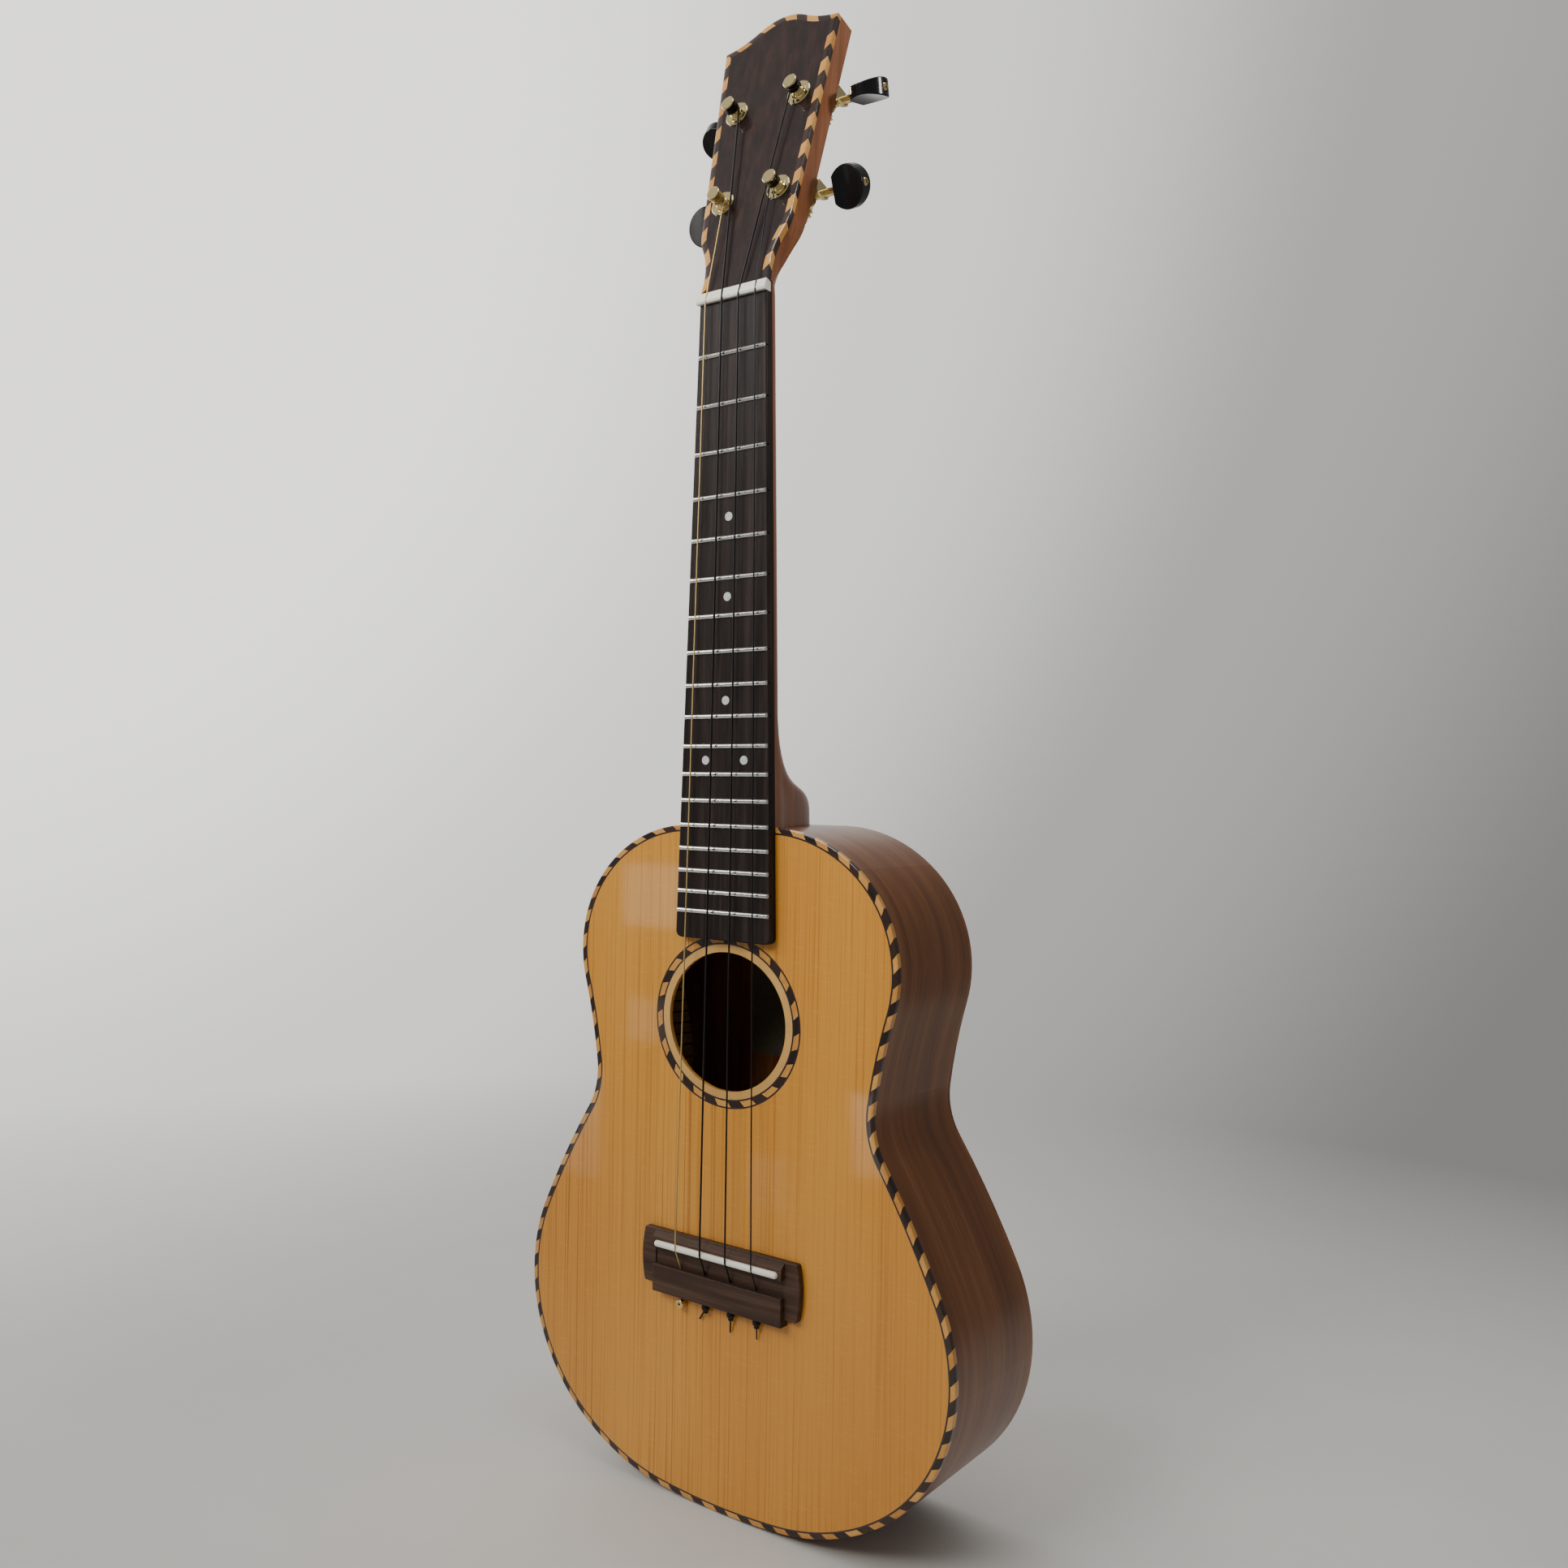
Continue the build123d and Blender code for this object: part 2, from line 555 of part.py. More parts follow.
def string_route(diameter, place, tuner):
    """From behind the tie block over the saddle and the nut to the post, as points."""
    saddle_x = string_x(place, SADDLE_SPACING)
    nut_x = string_x(place, NUT_SPACING)
    post_x, post_s, _ = TUNERS[tuner]
    inner_side = -outward(post_x)
    tangent = BARREL_RADIUS + STRING_GAP + diameter / 2
    lean = atan2(post_x + inner_side * tangent - nut_x, post_s)
    end_x = post_x + inner_side * tangent * cos(lean)
    end_s = post_s - inner_side * tangent * sin(lean)
    return [(saddle_x, HOLE_Y + 0.8, TIE_BACK_Z - 2.0), (saddle_x, HOLE_Y, TIE_FRONT_Z + 0.4),
            (saddle_x, SADDLE_TOP_Y - diameter / 2 + 0.25, -SCALE_LENGTH - 5.5),
            (nut_x, NUT_TOP_Y + 0.55 - diameter / 2, 0.8),
            tuple(head_point(end_x, end_s, STRING_LEVEL))]


def tube(points, diameter):
    """A round tube along straight runs joined by arcs."""
    path = FilletPolyline(*points, radius=BEND_RADIUS)
    start = Plane(origin=path @ 0, z_dir=path % 0)
    return sweep(start * Circle(diameter / 2), path=path)


def make_string(name, diameter, place, tuner):
    """One string with the knot or the loop that holds it behind the tie block."""
    points = string_route(diameter, place, tuner)
    string = tube(points, diameter)
    if name == "g":
        return string
    x, y, z = points[0]
    knot = Pos(x, y, z) * Sphere(1.9)
    knot += rod((x, y, z), (x, y + 0.2, z - 2.4), 1.25)
    tail_x, tail_z = TAIL_RUNS[name]
    knot += rod((x, y, z - 1.0), (x + tail_x, FACE_Y - 1.0, z - 2.0 + tail_z), diameter / 2)
    return string + knot


def make_ball_end():
    """The brass ball end of the wound string: a short grooved barrel with a hole."""
    x, y, z = string_route(STRINGS[0][1], STRINGS[0][2], STRINGS[0][3])[0]
    centre = (x, y, z - 1.6)
    barrel = rod((x, y - 1.6, centre[2]), (x, y + 1.6, centre[2]), 2.1)
    barrel = fillet(barrel.edges(), 0.4)
    return barrel - rod((x, y - 3, centre[2]), (x, y + 3, centre[2]), 0.6)


# ---------------------------------------------------------------- tuners
def post_sketch(points):
    """Half a turned section, from radius and height pairs, closed on the axis."""
    closed = ((0, points[0][1]),) + tuple(points) + ((0, points[-1][1]),)
    return make_face(Polyline(*closed, close=True))


def turned(points):
    """A solid of revolution about Z from radius and height pairs."""
    return revolve(Plane.XZ * post_sketch(points), Axis.Z)


def make_post():
    """The post, from the gear's seat through the bushing to the flared head."""
    gear_top = WORM_H + GEAR_THICK / 2
    post = turned(((2.0, WORM_H - GEAR_THICK / 2), (2.0, gear_top), (4.0, gear_top),
                   (4.0, BACK_H - TUNER_PLATE - RUN_GAP), (POST_RADIUS, BACK_H - TUNER_PLATE - RUN_GAP),
                   (POST_RADIUS, 1.6), (BARREL_RADIUS, 2.2), (BARREL_RADIUS, 6.4),
                   (2.7, 7.2), (FLARE_RADIUS, 8.2), (FLARE_RADIUS, POST_TOP - 0.3),
                   (FLARE_RADIUS - 0.4, POST_TOP)))
    return post - rod((-5, 0, 4.2), (5, 0, 4.2), 0.6)


def make_gear():
    """The gear: a bored disc with straight teeth slanted to lie along the worm's thread."""
    root = GEAR_PITCH_RADIUS - TOOTH_BELOW
    tip = GEAR_PITCH_RADIUS + TOOTH_ABOVE
    low = WORM_H - GEAR_THICK / 2
    slant = LEAD / (2 * pi * (WORM_OFFSET - GEAR_PITCH_RADIUS))
    gear = Pos(0, 0, WORM_H) * Cylinder(root, GEAR_THICK)
    shift = slant * GEAR_THICK / 2
    for tooth in range(GEAR_TEETH):
        half_root, half_tip = TOOTH_ROOT_WIDTH / 2, TOOTH_TIP_WIDTH / 2
        face = make_face(Polyline((shift - half_root, root - 0.4), (shift + half_root, root - 0.4),
                                  (shift + half_tip, tip), (shift - half_tip, tip), close=True))
        prism = extrude(Plane.XY.offset(low) * face, GEAR_THICK, dir=(-slant, 0, 1))
        gear += Rot(0, 0, (tooth + 0.5) * 360 / GEAR_TEETH) * prism
    return gear - Pos(0, 0, WORM_H) * Cylinder(2.0, GEAR_THICK)


def make_gear_screw():
    """The slotted screw that holds the gear on the post."""
    low = WORM_H - GEAR_THICK / 2
    head = Pos(0, 0, low - 0.6) * Cylinder(3.0, 1.2)
    head = fillet(head.edges().sort_by(Axis.Z)[0], 0.4)
    slot = Pos(0, 0, low - 1.2) * Box(8, 0.7, 1.0)
    return head - slot


def make_winding(diameter):
    """The turns of string on the post, as stacked rings above the string's own level."""
    middle = BARREL_RADIUS + diameter / 2
    heights = [STRING_LEVEL + diameter + STRING_GAP + turn * diameter for turn in range(WINDING_TURNS)]
    heights = [height for height in heights if height + diameter / 2 < 6.4]
    tall = heights[-1] - heights[0] + diameter
    mid_height = (heights[0] + heights[-1]) / 2
    section = Pos(BARREL_RADIUS + diameter / 4, mid_height) * Rectangle(diameter / 2, tall)
    for height in heights:
        section += Pos(middle, height) * Circle(diameter * 0.51)
    section &= Pos(BARREL_RADIUS + 5, 0) * Rectangle(10, 40)
    return revolve(Plane.XZ * section, Axis.Z)


def make_worm():
    """The worm and its shaft along Z, thread crossing the local X side at the middle."""
    root = WORM_OFFSET - GEAR_PITCH_RADIUS - TOOTH_BELOW
    tip = WORM_OFFSET - GEAR_PITCH_RADIUS + TOOTH_ABOVE
    half_length = THREAD_TURNS * LEAD / 2
    thread_path = Pos(0, 0, -half_length) * Helix(pitch=LEAD, height=2 * half_length, radius=root)
    profile = Polyline((root - 0.3, -THREAD_ROOT_WIDTH / 2), (tip, -THREAD_TIP_WIDTH / 2),
                       (tip, THREAD_TIP_WIDTH / 2), (root - 0.3, THREAD_ROOT_WIDTH / 2), close=True)
    section = Pos(0, 0, -half_length) * (Plane.XZ * make_face(profile))
    thread = sweep(section, path=thread_path, is_frenet=True)
    core_end = INNER_TAB_X - TAB_THICK - 0.05
    shaft = turned(((INNER_JOURNAL, -INNER_TAB_X - 0.8), (INNER_JOURNAL, -core_end), (root, -core_end),
                    (root, core_end), (SHAFT_RADIUS, core_end), (SHAFT_RADIUS, 9.4), (2.7, 9.4),
                    (2.7, OUTER_TAB_X - TAB_THICK - 0.05), (SHAFT_RADIUS, OUTER_TAB_X - TAB_THICK - 0.05),
                    (SHAFT_RADIUS, BUTTON_START), (SPIGOT_RADIUS, BUTTON_START),
                    (SPIGOT_RADIUS, BUTTON_START + BUTTON_LENGTH - 4.0)))
    ends = Cylinder(6, 2 * core_end)
    return shaft + (thread & ends)


def make_button():
    """The oval button, waisted between its flat inner end and thick outer end, along Z, broad across X."""
    end = BUTTON_START + BUTTON_LENGTH
    oval = Pos(0, end - BUTTON_HALF_LENGTH) * Ellipse(BUTTON_HALF_WIDTH, BUTTON_HALF_LENGTH)
    body = extrude(Plane.XZ * oval, BUTTON_HALF_WIDTH, both=True)
    front = [(half, BUTTON_START + place) for place, half in BUTTON_PROFILE]
    rear = [(-half, z) for half, z in reversed(front)]
    waist = Spline(*front)
    back = Spline(*rear)
    side = make_face(waist + Line(waist @ 1, back @ 0) + back + Line(back @ 1, waist @ 0))
    body &= extrude(Plane.YZ * side, BUTTON_HALF_WIDTH, both=True)
    body = fillet(body.edges(), 0.5)
    bore = Cylinder(SPIGOT_RADIUS, BUTTON_LENGTH - 4 + 0.001)
    body -= Pos(0, 0, BUTTON_START + BUTTON_LENGTH / 2 - 2) * bore
    body -= Pos(0, 0, end - 0.9) * Cylinder(SCREW_HEAD_RADIUS, 1.8)
    body -= Pos(0, 0, end - 3.0) * Cylinder(0.9, 2.4)
    return body


def make_button_screw():
    """The small cross-head screw in the button's outer end."""
    end = BUTTON_START + BUTTON_LENGTH
    seat = end - 1.8
    screw = turned(((0.9, seat - 2.2), (0.9, seat), (SCREW_HEAD_RADIUS, seat),
                    (SCREW_HEAD_RADIUS, end - 0.6), (1.5, end + 0.15)))
    for turn in (0, 90):
        screw -= Pos(0, 0, end) * Rot(0, 0, turn + 45) * Box(2.6, 0.6, 1.4)
    return screw


def make_bushing():
    """The flanged bushing that guides the post through the head."""
    bushing = turned(((SLEEVE_RADIUS, -SLEEVE_DEPTH), (SLEEVE_RADIUS, 0), (WASHER_RADIUS, 0),
                      (WASHER_RADIUS, WASHER_THICK - 0.4), (WASHER_RADIUS - 0.5, WASHER_THICK),
                      (4.0, WASHER_THICK), (3.8, 1.5)))
    return bushing - Cylinder(POST_RADIUS + RUN_GAP, 30)


def make_tuner_plate():
    """The base plate under the head with the two tabs that carry the worm, outwards along +X."""
    top = BACK_H
    low = BACK_H - TUNER_PLATE
    corner = 1.6
    far_corner = (OUTER_TAB_X - corner, WORM_OFFSET + TAB_HALF - corner)
    near_corner = (corner - INNER_TAB_X, WORM_OFFSET + TAB_HALF - corner)
    rounds = [Pos(*place) * Circle(3.2) for place in MOUNT_SCREWS]
    rounds += [Pos(*far_corner) * Circle(corner), Pos(*near_corner) * Circle(corner)]
    edges = [edge for circle in rounds for edge in circle.edges()]
    plate = extrude(Plane.XY.offset(low) * make_face(make_hull(edges)), TUNER_PLATE)
    plate -= Pos(0, 0, top) * Cylinder(POST_RADIUS + RUN_GAP, 6)
    for place in MOUNT_SCREWS:
        plate -= Pos(*place, top) * Cylinder(MOUNT_SCREW_RADIUS, 6)
    for face_x, bore in ((-INNER_TAB_X, INNER_JOURNAL), (OUTER_TAB_X - TAB_THICK, SHAFT_RADIUS)):
        tab = block((face_x, face_x + TAB_THICK), (WORM_OFFSET - TAB_HALF, WORM_OFFSET + TAB_HALF),
                    (WORM_H, low))
        tab += rod((face_x, WORM_OFFSET, WORM_H), (face_x + TAB_THICK, WORM_OFFSET, WORM_H), TAB_HALF)
        tab -= rod((face_x - 1, WORM_OFFSET, WORM_H), (face_x + 3, WORM_OFFSET, WORM_H), bore + RUN_GAP)
        plate += tab
    return plate


def make_mount_screw():
    """A round-headed wood screw under the base plate, pointing up."""
    seat = BACK_H - TUNER_PLATE
    screw = turned(((1.2, seat - 1.3), (1.9, seat - 0.8), (1.9, seat), (MOUNT_SCREW_RADIUS, seat),
                    (MOUNT_SCREW_RADIUS, BACK_H + 6.0), (0.3, BACK_H + 7.0)))
    return screw - Pos(0, 0, seat - 1.3) * Box(5, 0.5, 1.0)


def make_tuners():
    """All four tuners, each from the same pieces, mirrored on the left."""
    parts = {}
    worm_seat = Plane(origin=(0, WORM_OFFSET, WORM_H), x_dir=(0, -1, 0), z_dir=(1, 0, 0))
    worm, button, button_screw = make_worm(), make_button(), make_button_screw()
    post, gear, gear_screw = make_post(), make_gear(), make_gear_screw()
    diameters = {tuner: diameter for _, diameter, _, tuner in STRINGS}
    plates, bushings, screws = [], [], []
    for number, (x, s, turn) in TUNERS.items():
        def place(shape, x=x, s=s):
            shape = shape if x > 0 else mirror(shape, Plane.YZ)
            return head_plane(x, s) * shape
        name = f"tuner_{number}"
        spin = Rot(0, 0, turn)
        parts[f"{name}_worm"] = place(worm_seat * worm)
        parts[f"{name}_button"] = place(worm_seat * (spin * button))
        parts[f"{name}_button_screw"] = place(worm_seat * (spin * button_screw))
        parts[f"{name}_post"] = place(post)
        parts[f"{name}_gear"] = place(gear)
        parts[f"{name}_gear_screw"] = place(gear_screw)
        parts[f"{name}_winding"] = place(make_winding(diameters[number]))
        plates.append(place(make_tuner_plate()))
        bushings.append(place(make_bushing()))
        screws += [place(Pos(*spot, 0) * make_mount_screw()) for spot in MOUNT_SCREWS]
    parts["tuner_plates"] = Compound([solid for plate in plates for solid in plate.solids()])
    parts["tuner_bushings"] = Compound([solid for bushing in bushings for solid in bushing.solids()])
    parts["tuner_mount_screws"] = Compound([solid for screw in screws for solid in screw.solids()])
    return parts


# ---------------------------------------------------------------- the whole instrument
def make_all():
    """Every piece by name."""
    parts = make_body()
    parts.update(make_neck())
    parts.update(make_fretboard())
    nut = make_nut()
    bridge, saddle = make_bridge()
    for name, diameter, place, tuner in STRINGS:
        string = make_string(name, diameter, place, tuner)
        parts[f"string_{name}"] = string
        groove = tube(string_route(diameter, place, tuner)[:4], diameter + 0.1)
        saddle -= groove
        bridge -= groove
        nut -= tube(string_route(diameter, place, tuner)[2:], diameter + 0.1)
    parts["string_ball_end"] = make_ball_end() - parts["string_g"]
    parts["nut"] = nut
    parts["bridge"] = bridge
    parts["saddle"] = saddle
    parts.update(make_tuners())
    return parts


os.makedirs("parts", exist_ok=True)
for node, shape in make_all().items():
    export_step(shape, f"parts/{node}.step")
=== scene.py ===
"""Looks for the tenor ukulele: woods, rope-pattern bindings, strings, gold tuners, light and camera.

Lengths are in millimetres until they are placed, and the frame is the CAD model's: X to the right as the
front is seen, Y into the body, Z up, with the origin at the nut.
"""
import json
import random
from math import ceil, cos, hypot, pi, radians, sin

import bmesh
import bpy
from mathutils import Matrix, Vector


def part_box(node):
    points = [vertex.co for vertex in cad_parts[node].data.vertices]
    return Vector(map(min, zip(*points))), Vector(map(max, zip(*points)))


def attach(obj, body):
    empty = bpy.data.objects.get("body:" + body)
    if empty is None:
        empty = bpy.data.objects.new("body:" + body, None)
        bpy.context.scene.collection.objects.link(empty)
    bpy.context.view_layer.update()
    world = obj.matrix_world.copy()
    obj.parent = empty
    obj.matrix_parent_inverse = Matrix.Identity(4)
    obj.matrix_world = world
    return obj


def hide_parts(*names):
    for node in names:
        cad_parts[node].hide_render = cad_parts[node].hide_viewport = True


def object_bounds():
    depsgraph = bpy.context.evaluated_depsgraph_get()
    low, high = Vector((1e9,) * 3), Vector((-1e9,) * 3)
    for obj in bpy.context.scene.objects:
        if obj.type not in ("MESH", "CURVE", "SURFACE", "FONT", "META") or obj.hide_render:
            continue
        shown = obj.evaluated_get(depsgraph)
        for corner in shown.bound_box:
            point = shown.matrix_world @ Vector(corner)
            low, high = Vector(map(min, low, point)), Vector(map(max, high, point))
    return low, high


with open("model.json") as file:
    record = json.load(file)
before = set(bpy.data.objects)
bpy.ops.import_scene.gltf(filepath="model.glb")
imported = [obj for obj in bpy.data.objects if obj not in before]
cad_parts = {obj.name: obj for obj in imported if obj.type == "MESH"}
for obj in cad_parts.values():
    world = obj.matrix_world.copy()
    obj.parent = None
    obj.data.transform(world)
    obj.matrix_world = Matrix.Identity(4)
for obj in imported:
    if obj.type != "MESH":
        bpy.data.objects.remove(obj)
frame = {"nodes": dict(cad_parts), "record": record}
CAD_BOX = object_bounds()
NODES = frame["nodes"]
MM = 0.001
dice = random.Random(7)


def corner(node, end, axis):
    """One coordinate of a CAD node's box, in millimetres."""
    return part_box(node)[end]["xyz".index(axis)] / MM


# ---------------------------------------------------------------- driving dimensions
# half outline of the body from the tail's middle, as fitted: radius and turn of each tangent arc
BODY_ARCS = ((305.0, 6.0), (102.0, 32.0), (83.3, 48.5), (85.4, 27.0), (431.0, 8.0),
             (-35.4, -39.0), (-272.0, -8.5), (60.3, 64.5), (67.1, 41.5))
TAIL_Z = corner("top_binding", 0, "z")
FACE_Y = corner("top_binding", 0, "y")
BINDING_BACK_Y = corner("top_binding", 1, "y")
BODY_TOP_Z = corner("top_binding", 1, "z")
PLATE_BACK_Y = corner("top_plate", 1, "y")
SIDE_THICK = 2.4
PLATE_THICK = 2.2
BINDING_SOFT = 0.45           # size of the binding's softened corner
BODY_BLOCK = 6.5              # length of one block of the body's rope pattern
BLOCK_JITTER = 0.05           # how far a block's joint strays, as a share of the block
MITRE_LIMIT = 0.3             # keeps the mitre of a very sharp corner from reaching far
SMOOTH_ANGLE = radians(30)

BACK_AT_TAIL = corner("back_plate", 1, "y")
BACK_AT_TOP = corner("back_plate", 0, "y") + PLATE_THICK
KERF_PITCH = 5.6
KERF_GAP = 0.8
KERF_WIDTH = 5.0
KERF_SEARCH = 1000            # places tried along half the outline for the linings' ends
CLEARANCE = 1.0               # between a lining's end and a block
# across one block of lining: how far in from the side, how far from the plate
KERF_PROFILE = ((0.0, 0.0), (KERF_WIDTH, 0.0), (4.9, 2.6), (4.2, 4.4), (1.3, 7.4), (0.0, 8.0))

HOLE_Z = (corner("rosette", 0, "z") + corner("rosette", 1, "z")) / 2
ROSETTE_OUTER = (corner("rosette", 1, "x") - corner("rosette", 0, "x")) / 2
ROSETTE_WIDTH = 3.2
ROSETTE_BLOCKS = 34
ROSETTE_SLANT = 0.72          # forward shift of a block's joint for each millimetre inwards
ROSETTE_STEPS = 240
INLAY_DEPTH = 1.2
CAD_LINE_WIDTH = 0.5          # of the model's own black lines beside the rosette
LINE_WIDTH = 0.75
LINE_PROUD = 0.03
LINE_DEPTH = 0.3
LINE_BLOCKS = 8
LINE_RINGS = 110

# the headstock's own frame: x across, s along its face, h out of it
HEAD_TILT = radians(15.5)
HEAD_FOOT = (0.5, 5.0)
HEAD_FOOT_HALF = 17.7
HEAD_STEM = 6.5
HEAD_FLARE = ((38.0, -28.0), (20.0, 24.4))
HEAD_TOP = 142.7
HEAD_CROWN = ((24.0, -31.0), (45.0, 25.0))
HEAD_BINDING = 3.0
HEAD_SOFT = 0.35
HEAD_BLOCK = 6.8
SHARP_TURN = radians(20)
CORNER_REACH = 5.0            # from a sharp corner to where the blocks slant as usual

TUNERS = {1: (-15.2, 47.0), 2: (-17.0, 95.5), 3: (17.0, 95.5), 4: (15.2, 47.0)}
WINDINGS = {1: 0.66, 2: 0.92, 3: 0.82, 4: 0.66}   # the diameter of the string on each post
BARREL_RADIUS = 2.4
BARREL_TOP = 6.4
STRING_LEVEL = 3.0
COIL_TURNS = 3.2
COIL_STEPS = 40               # points in one turn of a coil

# the studio: where its bright side lies, its brightness from the dark side to that one, and the floor's reach
BRIGHT_SIDE = (-0.86, 0.32, 0.40)
BACKDROP = ((0.0, 0.21), (0.5, 0.20), (0.68, 0.24), (0.80, 0.50), (0.89, 1.10), (0.97, 1.8))
FLOOR_FADE = (0.25, 1.0)
FLOOR_HALF = 4.0
FLOOR_GAP = 0.0003            # between the object's lowest point and the floor

# bright patches on the gloss top: x, rise over the sound hole's middle, width, height and glow
PATCHES = ((-30.0, 55.0, 60.0, 30.0, 1.5), (-45.0, -5.0, 20.0, 20.0, 0.9), (-95.0, -60.0, 45.0, 55.0, 1.4),
           (75.0, -40.0, 25.0, 35.0, 2.0), (25.0, -70.0, 20.0, 25.0, 0.9))
WINDOWS_Y = -1200.0

# the camera, as fitted to the frets, the nut, the saddle and the body's outline
CAMERA_PLACE = (373.46, -540.77, -222.37)
CAMERA_FORWARD = (-0.65364, 0.75667, -0.01453)
CAMERA_UP = (-0.02130, 0.00080, 0.99977)
CAMERA_LENS = 32.91
CAMERA_SHIFT = (0.1377, 0.0145)


# ---------------------------------------------------------------- paths and sweeps
def head_point(x, s, h):
    """A point of the headstock's frame, in the object's frame."""
    foot_y, foot_z = HEAD_FOOT
    y = foot_y + s * sin(HEAD_TILT) - h * cos(HEAD_TILT)
    z = foot_z + s * cos(HEAD_TILT) + h * sin(HEAD_TILT)
    return Vector((x, y, z))


def body_point(x, z, y):
    """A point of the body's outline plane at depth y."""
    return Vector((x, y, z))


def arc_points(start, heading, arcs, step=1.0):
    """Points along a chain of tangent arcs given as radius and turn."""
    x, z = start
    points = [(x, z)]
    for radius, turn in arcs:
        length = abs(radius * radians(turn))
        steps = max(2, ceil(length / step))
        side = 1 if turn > 0 else -1
        centre_x = x - side * abs(radius) * sin(radians(heading))
        centre_z = z + side * abs(radius) * cos(radians(heading))
        for index in range(1, steps + 1):
            angle = radians(heading + turn * index / steps)
            reach = side * abs(radius)
            points.append((centre_x + reach * sin(angle), centre_z - reach * cos(angle)))
        x, z = points[-1]
        heading += turn
    return points


def straight(start, end, step=1.0):
    """Points along a straight run, without its first one."""
    steps = max(1, ceil(hypot(end[0] - start[0], end[1] - start[1]) / step))
    return [tuple(a + (b - a) * index / steps for a, b in zip(start, end)) for index in range(1, steps + 1)]


def mirrored(points):
    """The mirror image of a run of points, in the opposite order."""
    return [(-x, z) for x, z in reversed(points)]


class Path:
    """A run of points with a mitred normal to the left of each, measured along its length."""

    def __init__(self, points, closed):
        self.closed = closed
        self.points = points
        count = len(points)
        self.normals = []
        for index, (x, z) in enumerate(points):
            before = points[index - 1] if closed or index else None
            after = points[(index + 1) % count] if closed or index < count - 1 else None
            sides = []
            if before:
                sides.append(Vector((z - before[1], -(x - before[0]))).normalized())
            if after:
                sides.append(Vector((after[1] - z, -(after[0] - x))).normalized())
            middle = sum(sides, Vector((0, 0))).normalized()
            self.normals.append(-middle / max(MITRE_LIMIT, middle.dot(sides[0])))
        self.along = [0.0]
        loop = points + points[:1] if closed else points
        for a, b in zip(loop, loop[1:]):
            self.along.append(self.along[-1] + hypot(b[0] - a[0], b[1] - a[1]))
        self.length = self.along[-1]
        self.corners = [self.along[index] for index, (x, z) in enumerate(points) if self.is_corner(index)]

    def is_corner(self, index):
        """Whether the path turns sharply at a point."""
        count = len(self.points)
        if not self.closed and index in (0, count - 1):
            return False
        before, here, after = (Vector(self.points[(index + step) % count]) for step in (-1, 0, 1))
        return (here - before).angle(after - here) > SHARP_TURN

    def ease(self, s):
        """How much a block's slant counts at s: less near a corner, where the joints follow the mitre."""
        return min([1.0] + [abs(s - corner_at) / CORNER_REACH for corner_at in self.corners])

    def locate(self, s, inset):
        """The point at s along the path, moved inwards."""
        if self.closed:
            s %= self.length
        s = min(max(s, 0.0), self.length)
        low, high = 0, len(self.along) - 1
        while high - low > 1:
            middle = (low + high) // 2
            if self.along[middle] <= s:
                low = middle
            else:
                high = middle
        part = (s - self.along[low]) / max(1e-9, self.along[high] - self.along[low])
        count = len(self.points)
        a, b = Vector(self.points[low]), Vector(self.points[high % count])
        n, m = self.normals[low], self.normals[high % count]
        point = a.lerp(b, part) + n.lerp(m, part) * inset
        return point.x, point.y


def body_path():
    """The body's outline, anticlockwise from the tail as the front is seen."""
    right = arc_points((0.0, TAIL_Z), 0.0, BODY_ARCS)
    across = straight(right[-1], (-right[-1][0], right[-1][1]))
    return Path(right + across[:-1] + mirrored(right)[:-1], True)


def head_path():
    """The headstock's free edges, from the left foot over the crown to the right foot."""
    foot = (HEAD_FOOT_HALF + 0.6, 0.5)
    stem = [foot] + straight(foot, (HEAD_FOOT_HALF, HEAD_STEM))
    flare = arc_points(stem[-1], 90.0, HEAD_FLARE)
    crown = arc_points((0.0, HEAD_TOP), 0.0, HEAD_CROWN)
    shoulder, corner_point = flare[-1], crown[-1]
    lean = radians(90.0 + sum(turn for _, turn in HEAD_FLARE))
    fall = radians(sum(turn for _, turn in HEAD_CROWN))
    gap_x, gap_z = corner_point[0] - shoulder[0], corner_point[1] - shoulder[1]
    reach = (gap_x * sin(fall) - gap_z * cos(fall)) / (cos(lean) * sin(fall) - sin(lean) * cos(fall))
    meet = (shoulder[0] + reach * cos(lean), shoulder[1] + reach * sin(lean))
    right = stem + flare[1:] + straight(shoulder, meet) + crown[-2::-1]
    return Path(right + mirrored(right)[1:], False)


def skin(mesh, loops):
    """Faces between neighbouring loops of vertices."""
    size = len(loops[0])
    faces = []
    for low, high in zip(loops, loops[1:]):
        for edge in range(size):
            around = (edge + 1) % size
            faces.append(mesh.faces.new((low[edge], low[around], high[around], high[edge])))
    return faces


def tinted_piece(name, mesh, tints, materials):
    """An object that rides on the body, with a tint for each face that its material may read."""
    bmesh.ops.recalc_face_normals(mesh, faces=mesh.faces)
    data = bpy.data.meshes.new(name)
    mesh.to_mesh(data)
    mesh.free()
    layer = data.attributes.new("tint", "FLOAT", "FACE")
    layer.data.foreach_set("value", tints)
    piece = bpy.data.objects.new(name, data)
    bpy.context.collection.objects.link(piece)
    for material in materials:
        data.materials.append(material)
    data.shade_smooth()
    data.set_sharp_from_angle(angle=SMOOTH_ANGLE)
    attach(piece, "root")
    return piece


